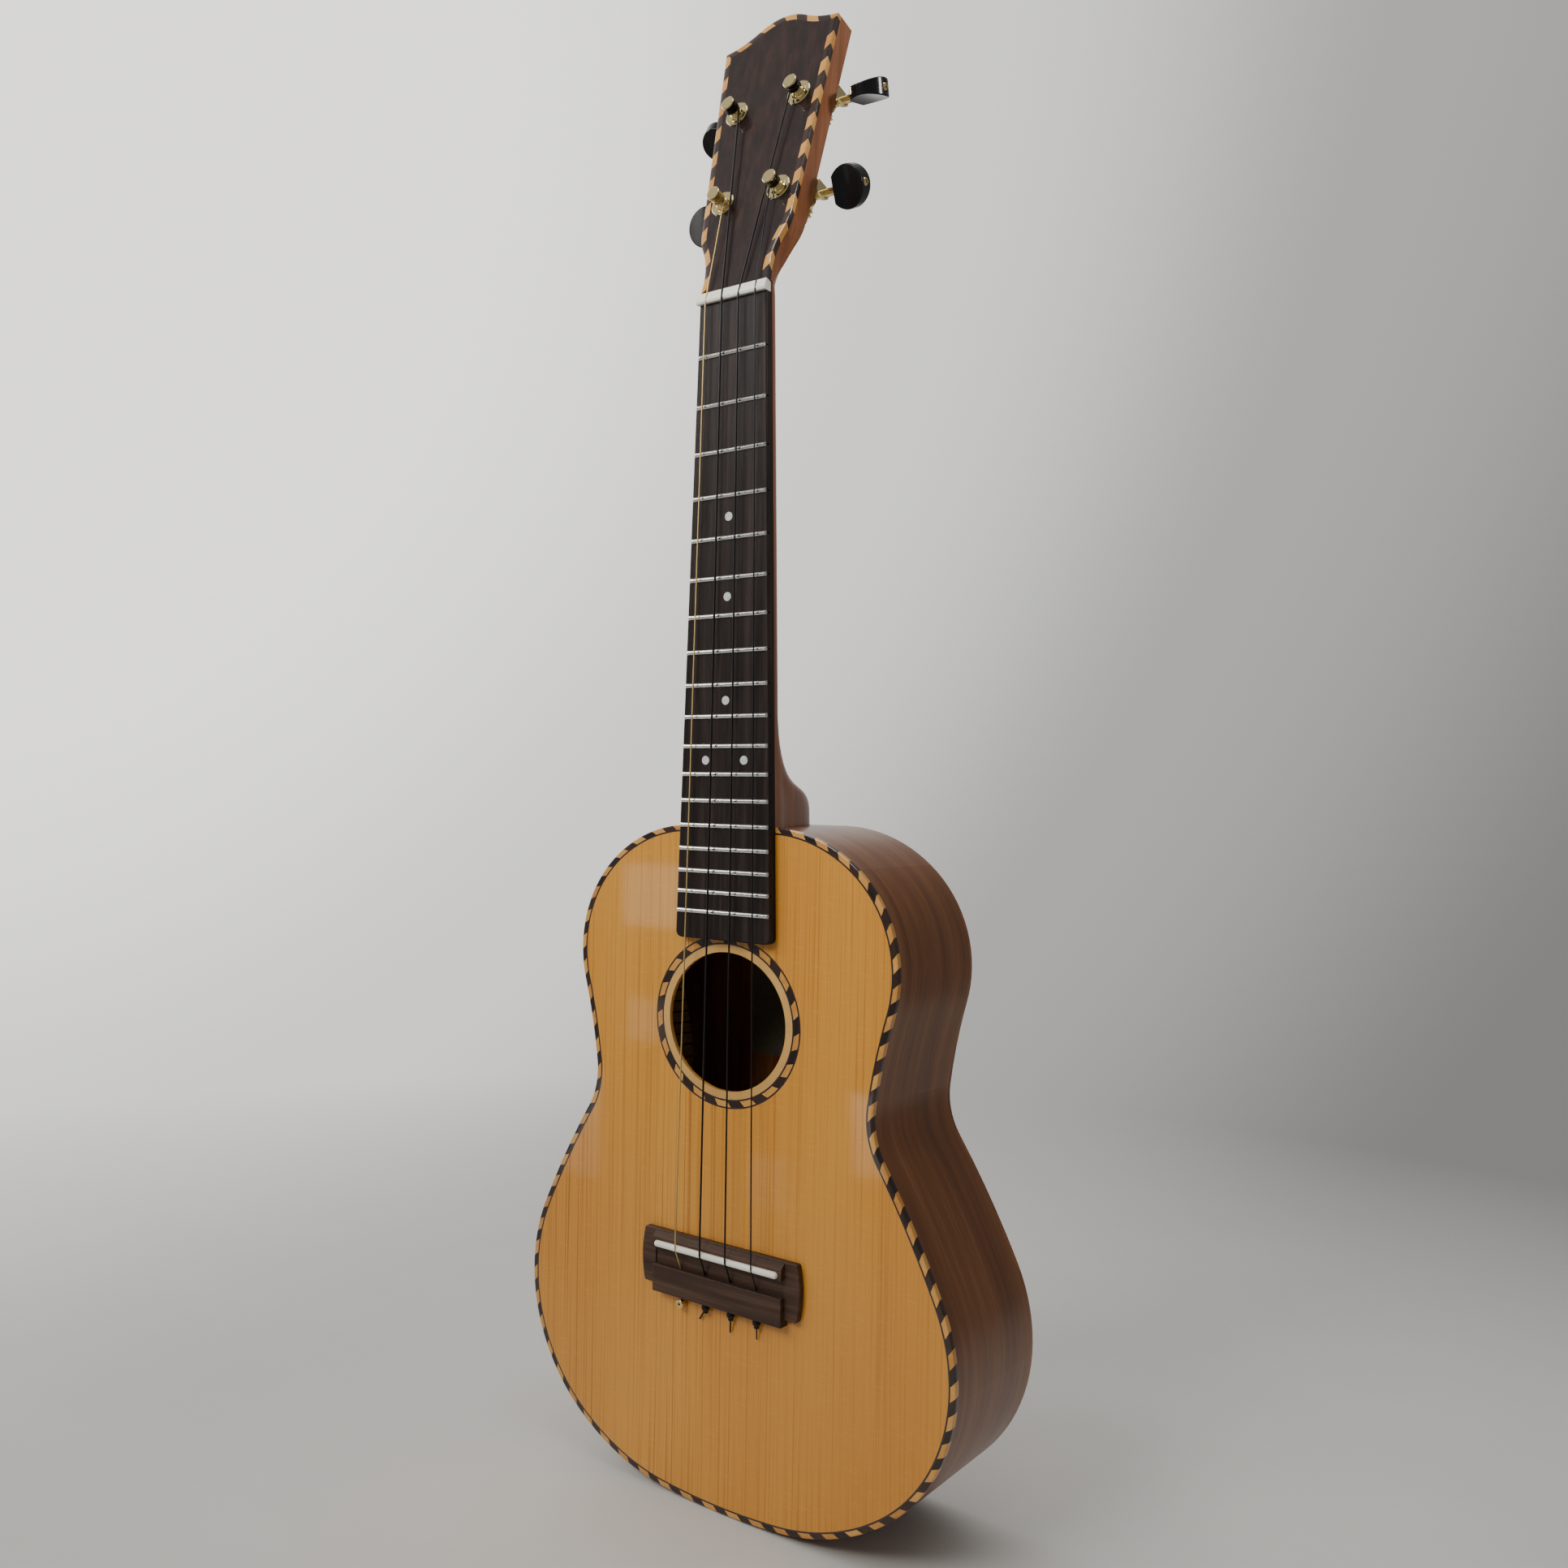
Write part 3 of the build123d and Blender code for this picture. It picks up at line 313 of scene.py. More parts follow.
def rope(name, path, block, profile, place, materials, rings=4):
    """A strip of alternating slanted blocks along a path: profile holds inset, depth and forward shift."""
    count = max(2, round(path.length / block / 2) * 2)
    block = path.length / count
    marks = [index * block + dice.uniform(-BLOCK_JITTER, BLOCK_JITTER) * block for index in range(count)]
    marks.append(marks[0] + path.length if path.closed else path.length)
    if not path.closed:
        marks[0] = 0.0
    mesh = bmesh.new()
    tints = []
    for index in range(count):
        tint = dice.random()
        shade = index % 2
        loops = []
        start, end = marks[index], marks[index + 1]
        stations = [start + (end - start) * ring / rings for ring in range(rings + 1)]
        stations += [corner_at for corner_at in path.corners if start < corner_at < end]
        for s in sorted(stations):
            loop = []
            for inset, depth, shift in profile:
                x, z = path.locate(s + shift * path.ease(s), inset)
                loop.append(mesh.verts.new(place(x, z, depth) * MM))
            loops.append(loop)
        for face in skin(mesh, loops):
            face.material_index = shade
            tints.append(tint)
    return tinted_piece(name, mesh, tints, materials)


# ---------------------------------------------------------------- materials
class Shader:
    """A Principled material with short ways to add nodes."""

    def __init__(self, name, roughness=0.5, coat=0.0, coat_roughness=0.05, metallic=0.0, specular=0.5):
        self.material = bpy.data.materials.new(name)
        self.material.use_nodes = True
        self.tree = self.material.node_tree
        self.surface = self.tree.nodes["Principled BSDF"]
        self.surface.inputs["Roughness"].default_value = roughness
        self.surface.inputs["Coat Weight"].default_value = coat
        self.surface.inputs["Coat Roughness"].default_value = coat_roughness
        self.surface.inputs["Metallic"].default_value = metallic
        self.surface.inputs["Specular IOR Level"].default_value = specular
        self.place = self.node("ShaderNodeTexCoord").outputs["Object"]

    def node(self, kind, **values):
        node = self.tree.nodes.new(kind)
        for key, value in values.items():
            setattr(node, key, value)
        return node

    def feed(self, value, socket):
        """Link a node's output to a socket, or set the socket's own value."""
        if isinstance(value, bpy.types.NodeSocket):
            self.tree.links.new(value, socket)
        else:
            socket.default_value = value

    def scaled(self, scale, source=None):
        """Object coordinates in metres, multiplied by scale."""
        node = self.node("ShaderNodeVectorMath", operation="MULTIPLY")
        self.feed(source or self.place, node.inputs[0])
        node.inputs[1].default_value = scale
        return node.outputs[0]

    def noise(self, scale, detail=2.0, rough=0.5, source=None, distortion=0.0):
        """Noise stretched by a scale for each axis, in waves per metre."""
        node = self.node("ShaderNodeTexNoise")
        self.feed(self.scaled(scale, source), node.inputs["Vector"])
        node.inputs["Scale"].default_value = 1.0
        node.inputs["Detail"].default_value = detail
        node.inputs["Roughness"].default_value = rough
        node.inputs["Distortion"].default_value = distortion
        return node.outputs["Fac"]

    def math(self, operation, a, b):
        node = self.node("ShaderNodeMath", operation=operation)
        self.feed(a, node.inputs[0])
        self.feed(b, node.inputs[1])
        return node.outputs[0]

    def ramp(self, value, *stops):
        """A colour ramp from place and colour pairs."""
        node = self.node("ShaderNodeValToRGB")
        elements = node.color_ramp.elements
        for _ in stops[2:]:
            elements.new(0.5)
        for element, (place, colour) in zip(elements, stops):
            element.position = place
            element.color = (*colour, 1.0)
        self.feed(value, node.inputs[0])
        return node.outputs[0]

    def level(self, value, low, high, out_low=0.0, out_high=1.0):
        """A value mapped from one range to another, clamped."""
        node = self.node("ShaderNodeMapRange")
        for socket, number in zip(node.inputs, (value, low, high, out_low, out_high)):
            self.feed(number, socket)
        return node.outputs[0]

    def blend(self, amount, a, b):
        node = self.node("ShaderNodeMix", data_type="RGBA")
        self.feed(amount, node.inputs[0])
        for value, socket in ((a, node.inputs[6]), (b, node.inputs[7])):
            self.feed(value if isinstance(value, bpy.types.NodeSocket) else (*value, 1.0), socket)
        return node.outputs[2]

    def colour(self, value):
        self.feed(value, self.surface.inputs["Base Color"])

    def rough(self, value, low, high):
        self.feed(self.level(value, 0.3, 0.7, low, high), self.surface.inputs["Roughness"])

    def bump(self, height, strength, distance=0.0002):
        node = self.node("ShaderNodeBump")
        node.inputs["Strength"].default_value = strength
        node.inputs["Distance"].default_value = distance
        self.feed(height, node.inputs["Height"])
        self.feed(node.outputs[0], self.surface.inputs["Normal"])

    def waves(self, scale, strength, distance=0.002):
        """The slight unevenness of a polished clear coat."""
        node = self.node("ShaderNodeBump")
        node.inputs["Strength"].default_value = strength
        node.inputs["Distance"].default_value = distance
        self.feed(self.noise(scale, 1, 0.4), node.inputs["Height"])
        self.feed(node.outputs[0], self.surface.inputs["Coat Normal"])


def spruce(name):
    """Straight-grained spruce under a clear gloss finish, grain along Z."""
    m = Shader(name, roughness=0.45, coat=1.0, coat_roughness=0.05, specular=0.1)
    drift = m.noise((14, 1, 2.2), 2, 0.5)
    shift = m.node("ShaderNodeCombineXYZ")
    m.feed(m.math("MULTIPLY", drift, 0.008), shift.inputs[0])
    moved = m.node("ShaderNodeVectorMath", operation="ADD")
    m.feed(m.place, moved.inputs[0])
    m.feed(shift.outputs[0], moved.inputs[1])
    rings = m.noise((950, 2, 4), 2, 0.5, moved.outputs[0])
    strength = m.level(m.noise((22, 1, 3), 2, 0.5), 0.35, 0.65, 0.35, 0.95)
    lines = m.math("MULTIPLY", m.level(rings, 0.50, 0.70), strength)
    fibres = m.noise((3200, 60, 45), 2, 0.6)
    flecks = m.noise((120, 40, 1100), 2, 0.5)
    broad = m.noise((14, 1, 2.5), 2, 0.5)
    base = m.ramp(broad, (0.30, (0.640, 0.262, 0.034)), (0.5, (0.680, 0.296, 0.040)),
                  (0.72, (0.715, 0.330, 0.050)))
    grain = m.blend(lines, base, (0.37, 0.118, 0.012))
    grain = m.blend(m.level(fibres, 0.45, 0.8, 0.0, 0.32), grain, (0.48, 0.180, 0.022))
    grain = m.blend(m.level(flecks, 0.56, 0.76, 0.0, 0.20), grain, (0.80, 0.42, 0.095))
    m.colour(grain)
    m.rough(rings, 0.40, 0.52)
    m.bump(rings, 0.04)
    m.waves((11, 1, 7), 0.25)
    return m.material


def streaked(name, along, colours, scale, coat=0.0, roughness=0.5, streak=0.6, pores=0.5, bump=0.15, warp=0.6,
             coat_roughness=0.1, specular=0.08):
    """A wood with flowing streaks and fine pores: along is the grain, colours go from dark to light."""
    m = Shader(name, roughness=roughness, coat=coat, coat_roughness=coat_roughness, specular=specular)

    def stretched(across, lengthwise):
        return tuple(lengthwise if axis in along else across for axis in "XYZ")
    wide = m.noise(stretched(scale * 0.22, scale * 0.02), 3, 0.55, distortion=warp)
    bands = m.noise(stretched(scale, scale * 0.05), 3, 0.55, distortion=warp * 0.6)
    fine = m.noise(stretched(scale * 6.0, scale * 0.22), 3, 0.6)
    pore = m.noise(stretched(scale * 16.0, scale * 0.8), 2, 0.5)
    mixed = m.math("ADD", m.math("MULTIPLY", bands, streak), m.math("MULTIPLY", wide, 1.0 - streak))
    mixed = m.math("ADD", m.math("MULTIPLY", mixed, 0.82), m.math("MULTIPLY", fine, 0.18))
    places = (0.34, 0.50, 0.66)
    base = m.ramp(mixed, *zip(places, colours))
    dark = tuple(channel * 0.45 for channel in colours[0])
    m.colour(m.blend(m.level(pore, 0.60, 0.76, 0.0, pores), base, dark))
    m.rough(fine, roughness - 0.06, roughness + 0.08)
    m.bump(m.math("SUBTRACT", fine, m.level(pore, 0.58, 0.75)), bump)
    return m.material


def rope_wood(name, colours, roughness=0.35, coat=0.9):
    """Small blocks: each has its own tint and a short grain."""
    m = Shader(name, roughness=roughness, coat=coat, coat_roughness=0.07, specular=0.15)
    tint = m.node("ShaderNodeAttribute", attribute_name="tint").outputs["Fac"]
    grain = m.noise((700, 700, 500), 3, 0.6)
    low, high, fleck = colours
    base = m.blend(tint, low, high)
    m.colour(m.blend(m.level(grain, 0.45, 0.75, 0.0, 0.5), base, fleck))
    m.bump(grain, 0.04)
    return m.material


def metal(name, colour, worn, roughness):
    """A plated metal with faint polishing marks and slightly duller patches."""
    m = Shader(name, roughness=roughness, metallic=1.0)
    patch = m.noise((160, 160, 160), 3, 0.6)
    marks = m.noise((3000, 3000, 300), 2, 0.6)
    m.colour(m.blend(m.level(patch, 0.50, 0.78, 0.0, 0.4), colour, worn))
    m.rough(patch, roughness, roughness + 0.04)
    m.bump(marks, 0.003, 0.00005)
    return m.material


def bone(name):
    """Polished bone: cream with faint darker streaks along its length."""
    m = Shader(name, roughness=0.32, coat=0.3, coat_roughness=0.15)
    streaks = m.noise((60, 900, 900), 3, 0.6)
    cloud = m.noise((140, 140, 140), 2, 0.5)
    base = m.ramp(cloud, (0.3, (0.92, 0.89, 0.77)), (0.7, (0.97, 0.95, 0.86)))
    m.colour(m.blend(m.level(streaks, 0.55, 0.8, 0.0, 0.30), base, (0.72, 0.66, 0.52)))
    m.bump(streaks, 0.05)
    return m.material


def plastic(name, low, high, roughness, coat=0.0, marks=0.02, specular=0.5):
    """A moulded or drawn plastic with slight unevenness in colour and gloss."""
    m = Shader(name, roughness=roughness, coat=coat, coat_roughness=0.04, specular=specular)
    cloud = m.noise((220, 220, 220), 3, 0.6)
    scuffs = m.noise((2400, 2400, 900), 2, 0.6)
    m.colour(m.blend(cloud, low, high))
    m.rough(cloud, roughness, roughness + 0.06)
    m.bump(scuffs, marks, 0.00005)
    return m.material


def pearl(name):
    """Position dots with a soft shimmer."""
    m = Shader(name, roughness=0.25, coat=0.6, coat_roughness=0.05)
    swirl = m.noise((420, 420, 300), 3, 0.6, distortion=1.5)
    m.colour(m.ramp(swirl, (0.3, (0.36, 0.40, 0.43)), (0.5, (0.74, 0.76, 0.73)), (0.7, (0.50, 0.48, 0.52))))
    m.bump(swirl, 0.03)
    return m.material


def paper(name):
    """A plain label with paper fibres, dark brown: painted shade, its colour darkened for the shade that falls
    on it inside the body.
    """
    m = Shader(name, roughness=0.85)
    fibres = m.noise((700, 700, 700), 4, 0.7)
    m.colour(m.ramp(fibres, (0.3, (0.115, 0.095, 0.060)), (0.7, (0.160, 0.135, 0.090))))
    m.bump(fibres, 0.1)
    return m.material


def wound(name):
    """A string wound with fine wire: ribs across its length, on Z."""
    m = Shader(name, roughness=0.38, metallic=0.55)
    wave = m.node("ShaderNodeTexWave", wave_type="BANDS", bands_direction="Z")
    m.feed(m.scaled((1, 1, 1)), wave.inputs["Vector"])
    wave.inputs["Scale"].default_value = 1300.0
    cloud = m.noise((200, 200, 40), 2, 0.5)
    m.colour(m.blend(cloud, (0.46, 0.31, 0.10), (0.66, 0.49, 0.20)))
    m.bump(wave.outputs["Fac"], 0.25, 0.00005)
    return m.material


TOP = spruce("spruce_top")
BODY_WOOD = streaked("body_wood", "XZ", ((0.118, 0.039, 0.012), (0.195, 0.069, 0.020), (0.290, 0.118, 0.040)),
                     150, coat=0.5, roughness=0.45, coat_roughness=0.22, streak=0.62, pores=0.45, warp=0.9)
BACK_WOOD = streaked("back_wood", "Z", ((0.125, 0.040, 0.012), (0.250, 0.090, 0.028), (0.390, 0.165, 0.058)),
                     95, coat=0.5, roughness=0.45, coat_roughness=0.22, streak=0.55, pores=0.45, warp=1.3)
NECK_WOOD = streaked("neck_wood", "Z", ((0.17, 0.056, 0.022), (0.27, 0.098, 0.039), (0.38, 0.155, 0.066)),
                     210, coat=0.7, roughness=0.42, coat_roughness=0.22, streak=0.5, pores=0.5)
VENEER = streaked("veneer_wood", "Z",
                  ((0.005, 0.0026, 0.0024), (0.016, 0.0062, 0.0050), (0.037, 0.0135, 0.0098)),
                  260, coat=0.6, roughness=0.40, coat_roughness=0.05, streak=0.7, pores=0.5, bump=0.08,
                  warp=0.1, specular=0.1)
BOARD = streaked("board_wood", "Z",
                 ((0.011, 0.0080, 0.0075), (0.022, 0.0160, 0.0145), (0.044, 0.0300, 0.0255)),
                 300, coat=0.0, roughness=0.42, streak=0.75, pores=0.5, bump=0.16, warp=0.3, specular=0.12)
BRIDGE_WOOD = streaked("bridge_wood", "X",
                       ((0.022, 0.0095, 0.005), (0.055, 0.027, 0.015), (0.115, 0.061, 0.037)),
                       240, coat=0.1, roughness=0.52, coat_roughness=0.3, streak=0.6, pores=0.6, bump=0.2,
                       specular=0.3)
INNER = streaked("inner_wood", "Z", ((0.26, 0.15, 0.065), (0.36, 0.22, 0.105), (0.46, 0.30, 0.155)),
                 180, roughness=0.7, streak=0.5, pores=0.3, bump=0.2)
RING = streaked("pale_ring", "XZ", ((0.55, 0.30, 0.085), (0.66, 0.38, 0.12), (0.74, 0.46, 0.16)),
                420, coat=0.9, roughness=0.4, coat_roughness=0.07, streak=0.4, pores=0.2, bump=0.04)
DARK_ROPE = rope_wood("dark_rope", ((0.014, 0.006, 0.005), (0.050, 0.021, 0.013), (0.006, 0.003, 0.003)))
TAN_ROPE = rope_wood("tan_rope", ((0.50, 0.205, 0.038), (0.67, 0.335, 0.078), (0.74, 0.42, 0.12)))
ROPE_BLOCKS = [DARK_ROPE, TAN_ROPE]
BLACK_LINE = plastic("black_line", (0.008, 0.005, 0.005), (0.016, 0.009, 0.008), 0.3, coat=0.8)
GOLD = metal("gold_plate", (0.92, 0.76, 0.40), (0.80, 0.60, 0.28), 0.07)
NICKEL = metal("fret_metal", (0.86, 0.85, 0.81), (0.74, 0.72, 0.66), 0.11)
BRASS = metal("ball_brass", (0.80, 0.58, 0.25), (0.52, 0.34, 0.12), 0.22)
BONE = bone("bone")
PEARL = pearl("pearl_dot")
LABEL = paper("label_paper")
BUTTON = plastic("black_button", (0.006, 0.006, 0.007), (0.012, 0.012, 0.013), 0.16, marks=0.01,
                 specular=0.25)
BLACK_STRING = plastic("black_string", (0.005, 0.0045, 0.0045), (0.011, 0.010, 0.0095), 0.30, specular=0.25)
WOUND = wound("wound_string")
# the linings' pale wood colour is partly their own and partly painted light: it is brightened for the light
# that reaches them through the sound hole
LINING = rope_wood("lining_wood", ((0.48, 0.30, 0.15), (0.68, 0.46, 0.25), (0.76, 0.55, 0.33)), 0.6, 0.0)

SLOT_MATERIALS = {
    "spruce_top": TOP, "pale_ring": RING, "rope_inlay": TAN_ROPE, "black_line": BLACK_LINE,
    "body_wood": BODY_WOOD, "inner_wood": INNER, "label_paper": LABEL, "neck_wood": NECK_WOOD,
    "veneer_wood": VENEER, "board_wood": BOARD, "bridge_wood": BRIDGE_WOOD, "fret_metal": NICKEL,
    "pearl_dot": PEARL, "bone": BONE, "wound_string": WOUND, "black_string": BLACK_STRING,
    "ball_brass": BRASS, "gold_plate": GOLD, "black_button": BUTTON}


def dress_frame():
    """Every carried-over CAD node gets the material of its slot."""
    for part in frame["record"]["subparts"]:
        data = NODES[part["node"]].data
        data.materials.clear()
        data.materials.append(SLOT_MATERIALS[part["material_slot"]])
    NODES["back_plate"].data.materials[0] = BACK_WOOD


# ---------------------------------------------------------------- rope-pattern bindings
def black_line(name, path, start):
    """A black line along a path, from an inset inwards, a hair proud of the top."""
    end, top, bottom = start + LINE_WIDTH, FACE_Y - LINE_PROUD, FACE_Y + LINE_DEPTH
    profile = [(end, bottom, 0.0), (end, top, 0.0), (start, top, 0.0), (start, bottom, 0.0)]
    rope(name, path, path.length / LINE_BLOCKS, profile, body_point, [BLACK_LINE, BLACK_LINE],
         rings=LINE_RINGS)


def body_binding():
    """The rope-pattern strip round the front's edge, with a softened corner."""
    width, soft = SIDE_THICK, BINDING_SOFT
    profile = [(width, BINDING_BACK_Y, -width), (width, FACE_Y, -width)]
    profile += [(width * 0.5, FACE_Y, -width * 0.5), (soft, FACE_Y, -soft)]
    profile += [(soft * 0.3, FACE_Y + soft * 0.3, 0.0), (0.0, FACE_Y + soft, 0.1)]
    profile += [(0.0, BINDING_BACK_Y, 0.5)]
    piece = rope("rope_binding", body_path(), BODY_BLOCK, profile, body_point, ROPE_BLOCKS)
    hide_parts("top_binding")
    black_line("edge_line", body_path(), width)


def rosette_ring():
    """The rope-pattern ring round the sound hole, between two black lines."""
    angles = [2 * pi * index / ROSETTE_STEPS for index in range(ROSETTE_STEPS)]
    circle = [(ROSETTE_OUTER * cos(angle), HOLE_Z + ROSETTE_OUTER * sin(angle)) for angle in angles]
    path = Path(circle, True)
    black_line("rosette_line_outer", path, -CAD_LINE_WIDTH)
    black_line("rosette_line_inner", path, ROSETTE_WIDTH + CAD_LINE_WIDTH - LINE_WIDTH)
    width, depth = ROSETTE_WIDTH, FACE_Y + INLAY_DEPTH
    profile = [(width, depth, -width * ROSETTE_SLANT), (width, FACE_Y, -width * ROSETTE_SLANT),
               (width / 2, FACE_Y, -width / 2 * ROSETTE_SLANT), (0.0, FACE_Y, 0.0), (0.0, depth, 0.0)]
    piece = rope("rope_rosette", path, path.length / ROSETTE_BLOCKS, profile, body_point, ROPE_BLOCKS,
                 rings=6)
    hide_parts("rosette")


def head_binding():
    """The rope-pattern strip along the headstock's edges."""
    width, soft = HEAD_BINDING, HEAD_SOFT
    profile = [(width, -width, -width * 0.8), (width, 0.0, -width * 0.8), (width / 2, 0.0, -width * 0.4),
               (soft, 0.0, -soft), (soft * 0.3, -soft * 0.3, 0.0), (0.0, -soft, -0.1),
               (0.0, -width, -width * 0.6)]
    piece = rope("headstock_rope", head_path(), HEAD_BLOCK, profile, head_point, ROPE_BLOCKS)
    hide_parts("headstock_binding")


# ---------------------------------------------------------------- inside the body
def back_y(z):
    """The depth of the back plate's inner face at a height."""
    part = (z - TAIL_Z) / (BODY_TOP_Z - TAIL_Z)
    return BACK_AT_TAIL + (BACK_AT_TOP - BACK_AT_TAIL) * part - PLATE_THICK


def outside_blocks(x, z):
    """Whether a point of the rim is clear of the neck block and the tail block."""
    for node in ("neck_block", "tail_block"):
        low, high = corner(node, 0, "z") - CLEARANCE, corner(node, 1, "z") + CLEARANCE
        if abs(x) < corner(node, 1, "x") + CLEARANCE and low < z < high:
            return False
    return True


def kerfed_linings():
    """The strips glued inside the rims, cut into small blocks so that they bend round the outline."""
    path = body_path()
    half = path.length / 2
    places = [index * half / KERF_SEARCH for index in range(KERF_SEARCH + 1)]
    clear = [s for s in places if outside_blocks(*path.locate(s, SIDE_THICK + KERF_WIDTH))]
    first, last = clear[0] + CLEARANCE, clear[-1] - CLEARANCE
    count = round((last - first) / KERF_PITCH)
    pitch = (last - first) / count
    mesh = bmesh.new()
    tints = []
    for mirror in (False, True):
        for index in range(count):
            start = first + index * pitch
            ends = (start + KERF_GAP / 2, start + pitch / 2, start + pitch - KERF_GAP / 2)
            stations = [path.length - s for s in ends] if mirror else ends
            tint = dice.random()
            for at_back in (False, True):
                loops = []
                for s in stations:
                    loop = []
                    for inset, depth in KERF_PROFILE:
                        x, z = path.locate(s, SIDE_THICK + inset)
                        y = back_y(z) - depth if at_back else PLATE_BACK_Y + depth
                        loop.append(mesh.verts.new(Vector((x, y, z)) * MM))
                    loops.append(loop)
                faces = skin(mesh, loops)
                faces += [mesh.faces.new(loops[0]), mesh.faces.new(loops[-1])]
                tints += [tint] * len(faces)
    piece = tinted_piece("kerfed_linings", mesh, tints, [LINING])
    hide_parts("linings")


# ---------------------------------------------------------------- strings on the posts
def winding(number):
    """The turns of string on a post, as a coil that rides on it."""
    x, s = TUNERS[number]
    diameter = WINDINGS[number]
    radius = BARREL_RADIUS + diameter / 2
    first = STRING_LEVEL + diameter * 0.75
    curve = bpy.data.curves.new(f"coil_{number}", "CURVE")
    curve.dimensions = "3D"
    curve.bevel_depth = diameter / 2 * MM
    curve.bevel_resolution = 4
    curve.use_fill_caps = True
    spline = curve.splines.new("POLY")
    spline.points.add(int(COIL_TURNS * COIL_STEPS))
    for index, point in enumerate(spline.points):
        turned = index / COIL_STEPS
        angle = 2 * pi * turned
        height = min(first + diameter * 1.02 * turned, BARREL_TOP - diameter / 2)
        place = head_point(x + radius * cos(angle), s + radius * sin(angle), height) * MM
        point.co = (*place, 1.0)
    piece = bpy.data.objects.new(f"coil_{number}", curve)
    bpy.context.collection.objects.link(piece)
    curve.materials.append(WOUND if number == 1 else BLACK_STRING)
    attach(piece, f"tuner_{number}_roller")
    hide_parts(f"tuner_{number}_winding")


# ---------------------------------------------------------------- stage, light and camera
def pale_floor():
    """A pale floor that fades into the backdrop with distance."""
    half, level = FLOOR_HALF, CAD_BOX[0].z - FLOOR_GAP
    mesh = bpy.data.meshes.new("floor")
    corners = [(-half, -half, level), (half, -half, level), (half, half, level), (-half, half, level)]
    mesh.from_pydata(corners, [], [(0, 1, 2, 3)])
    floor = bpy.data.objects.new("floor", mesh)
    bpy.context.collection.objects.link(floor)
    m = Shader("floor", roughness=0.75, specular=0.2)
    grit = m.noise((9, 9, 9), 4, 0.6)
    m.colour(m.ramp(grit, (0.3, (0.66, 0.655, 0.635)), (0.7, (0.69, 0.685, 0.665))))
    spread = m.node("ShaderNodeVectorMath", operation="LENGTH")
    m.feed(m.scaled((1, 1, 0)), spread.inputs[0])
    clear = m.node("ShaderNodeBsdfTransparent")
    mixed = m.node("ShaderNodeMixShader")
    m.feed(m.level(spread.outputs["Value"], FLOOR_FADE[0], FLOOR_FADE[1]), mixed.inputs[0])
    m.feed(m.surface.outputs[0], mixed.inputs[1])
    m.feed(clear.outputs[0], mixed.inputs[2])
    m.feed(mixed.outputs[0], m.tree.nodes["Material Output"].inputs["Surface"])
    mesh.materials.append(m.material)


def backdrop():
    """A surrounding that is brighter towards one side."""
    world = bpy.data.worlds.new("studio")
    bpy.context.scene.world = world
    world.use_nodes = True
    tree = world.node_tree
    compass = tree.nodes.new("ShaderNodeVectorMath")
    compass.operation = "DOT_PRODUCT"
    compass.inputs[1].default_value = BRIGHT_SIDE
    ramp = tree.nodes.new("ShaderNodeValToRGB")
    ramp.color_ramp.interpolation = "EASE"
    spread = tree.nodes.new("ShaderNodeMapRange")
    spread.inputs["From Min"].default_value = -1.0
    tree.links.new(tree.nodes.new("ShaderNodeTexCoord").outputs["Generated"], compass.inputs[0])
    tree.links.new(compass.outputs["Value"], spread.inputs["Value"])
    tree.links.new(spread.outputs[0], ramp.inputs[0])
    for _ in BACKDROP[2:]:
        ramp.color_ramp.elements.new(0.5)
    for element, (place, level) in zip(ramp.color_ramp.elements, BACKDROP):
        element.position = place
        element.color = (level, level * 0.985, level * 0.95, 1.0)
    tree.links.new(ramp.outputs[0], tree.nodes["Background"].inputs[0])


def softbox(name, place, target, width, height, power, colour=(1, 1, 1), spread=180.0):
    """A rectangular light that faces a target."""
    data = bpy.data.lights.new(name, "AREA")
    data.shape = "RECTANGLE"
    data.size = width
    data.size_y = height
    data.energy = power
    data.color = colour
    data.spread = radians(spread)
    light = bpy.data.objects.new(name, data)
    bpy.context.collection.objects.link(light)
    light.location = place
    light.rotation_euler = (Vector(target) - Vector(place)).to_track_quat("-Z", "Y").to_euler()


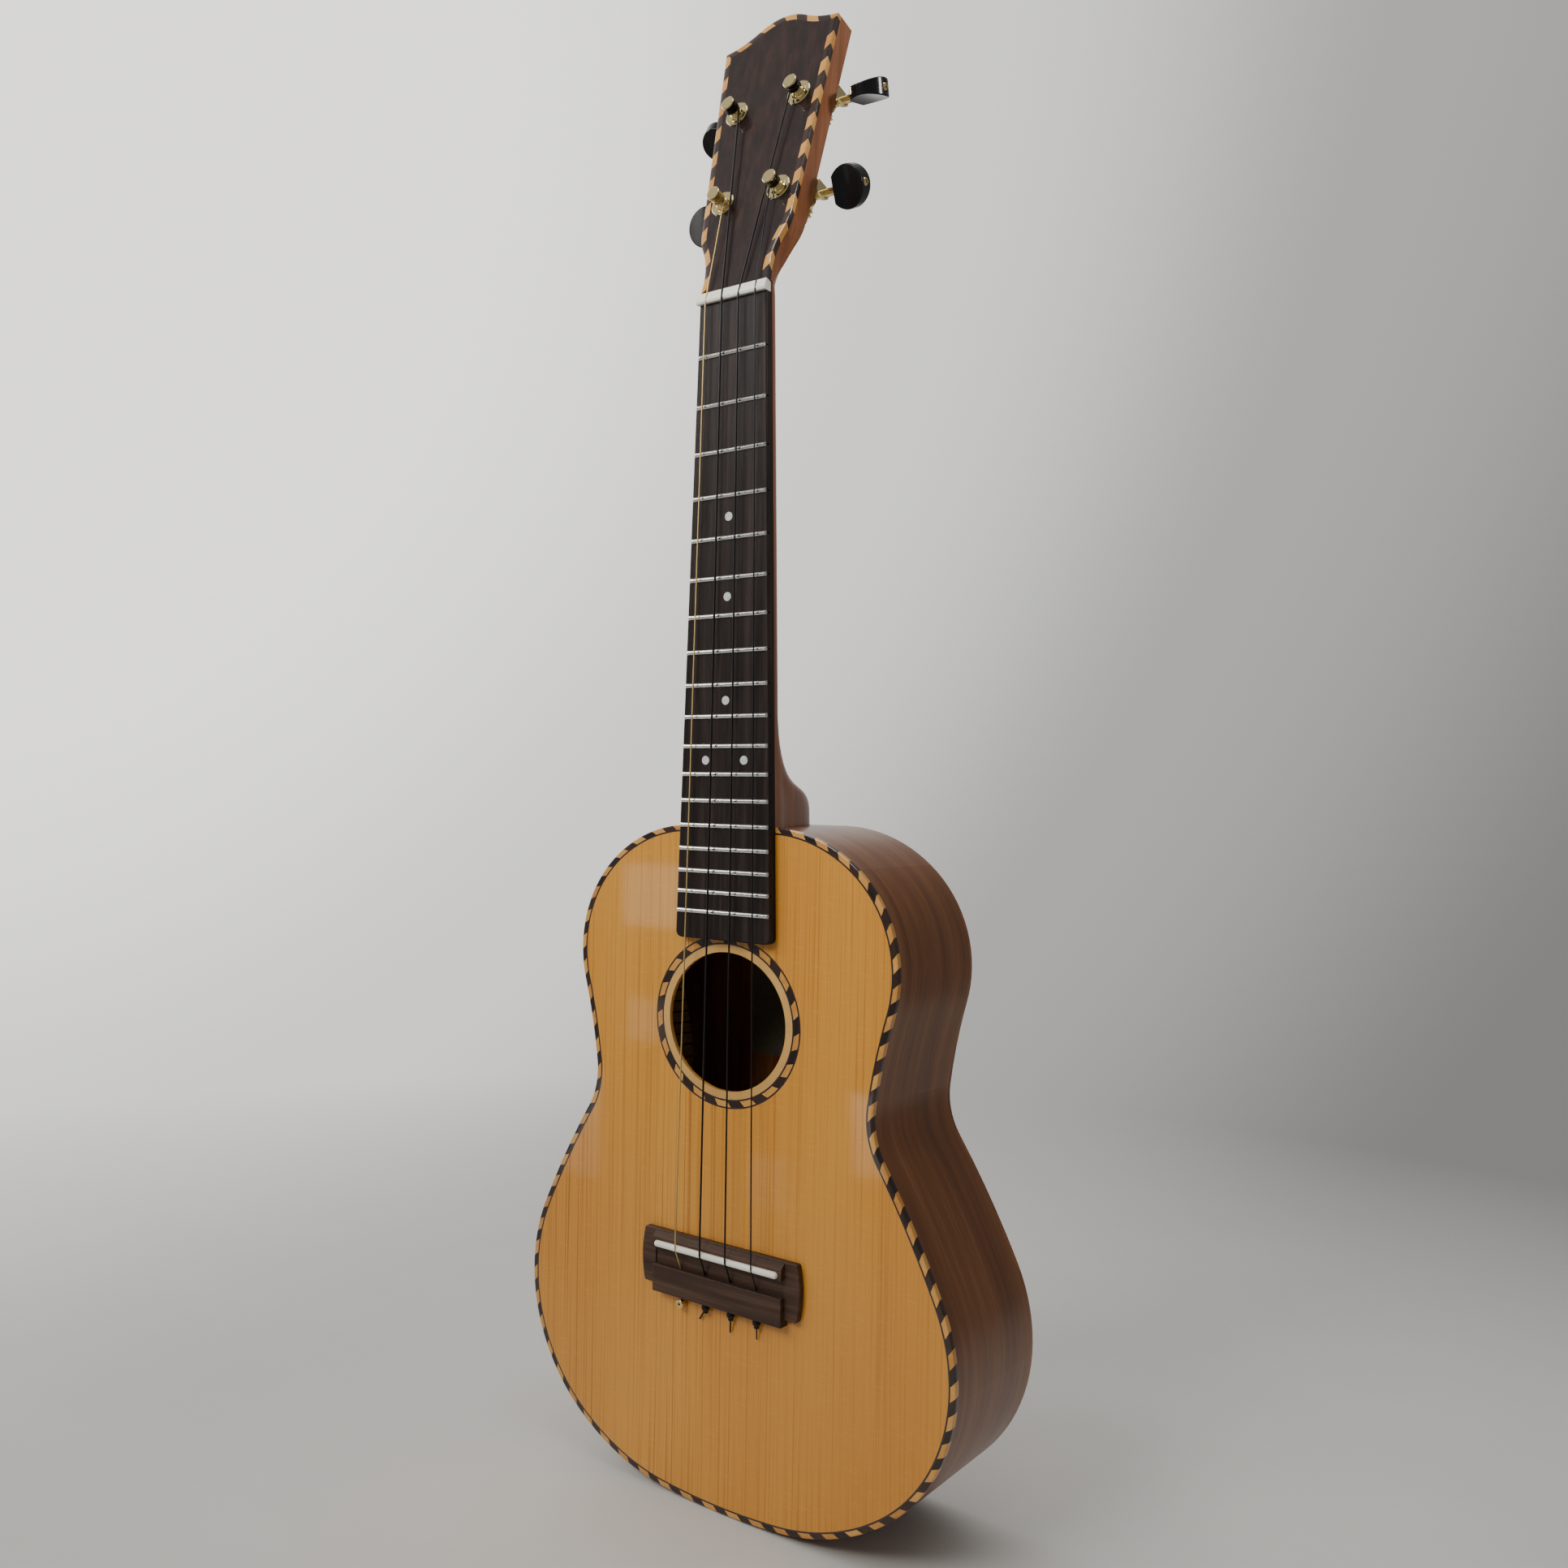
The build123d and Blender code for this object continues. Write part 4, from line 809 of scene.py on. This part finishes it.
def windows():
    """Small lights, each where the gloss top mirrors it towards the camera as a bright patch."""
    eye_x, eye_y, eye_z = CAMERA_PLACE
    reach = (FACE_Y - WINDOWS_Y) / (FACE_Y - eye_y)
    for index, (x, rise, width, height, glow) in enumerate(PATCHES):
        z = HOLE_Z + rise
        place = Vector((x + (x - eye_x) * reach, WINDOWS_Y, z + (z - eye_z) * reach)) * MM
        across = width * (1 + reach) * MM
        tall = height * (1 + reach) * MM
        softbox(f"window_{index}", place, place + Vector((0, 1, 0)), across, tall, glow * pi * across * tall)


def lights():
    """A broad key from the front left, small ones for frets, board and side, a soft one above, and windows."""
    middle = (0.0, 0.0, -0.28)
    softbox("key", (-0.28, -1.15, 0.70), (0.0, 0.0, 0.02), 0.8, 0.8, 2.05, (1.0, 0.97, 0.93), 50.0)
    softbox("fret_light", (-1.00, -0.80, 0.60), (0.0, 0.0, -0.15), 0.40, 0.25, 1.9)
    softbox("board_light", (-1.00, -0.80, 0.60), (0.0, 0.0, 0.0), 0.40, 0.25, 0.25, spread=30.0)
    softbox("overhead", (0.7, -0.4, 1.9), middle, 1.6, 1.2, 7.6, (1.0, 0.98, 0.95))
    softbox("side_fill", (0.66, 0.24, 0.30), (0.0, 0.03, 0.10), 0.10, 0.10, 0.30, (1.0, 0.97, 0.93), 60.0)
    windows()


def camera():
    """The camera, turned by its viewing axes."""
    forward = Vector(CAMERA_FORWARD).normalized()
    right = forward.cross(Vector(CAMERA_UP)).normalized()
    up = right.cross(forward)
    data = bpy.data.cameras.new("camera")
    data.sensor_width = 36.0
    data.lens = CAMERA_LENS
    data.shift_x, data.shift_y = CAMERA_SHIFT
    data.clip_start = 0.01
    view = bpy.data.objects.new("camera", data)
    bpy.context.collection.objects.link(view)
    turn = Matrix((right, up, -forward)).transposed()
    view.matrix_world = Matrix.Translation(Vector(CAMERA_PLACE) * MM) @ turn.to_4x4()
    bpy.context.scene.camera = view


dress_frame()
body_binding()
rosette_ring()
head_binding()
kerfed_linings()
for tuner in TUNERS:
    winding(tuner)
pale_floor()
backdrop()
lights()
camera()
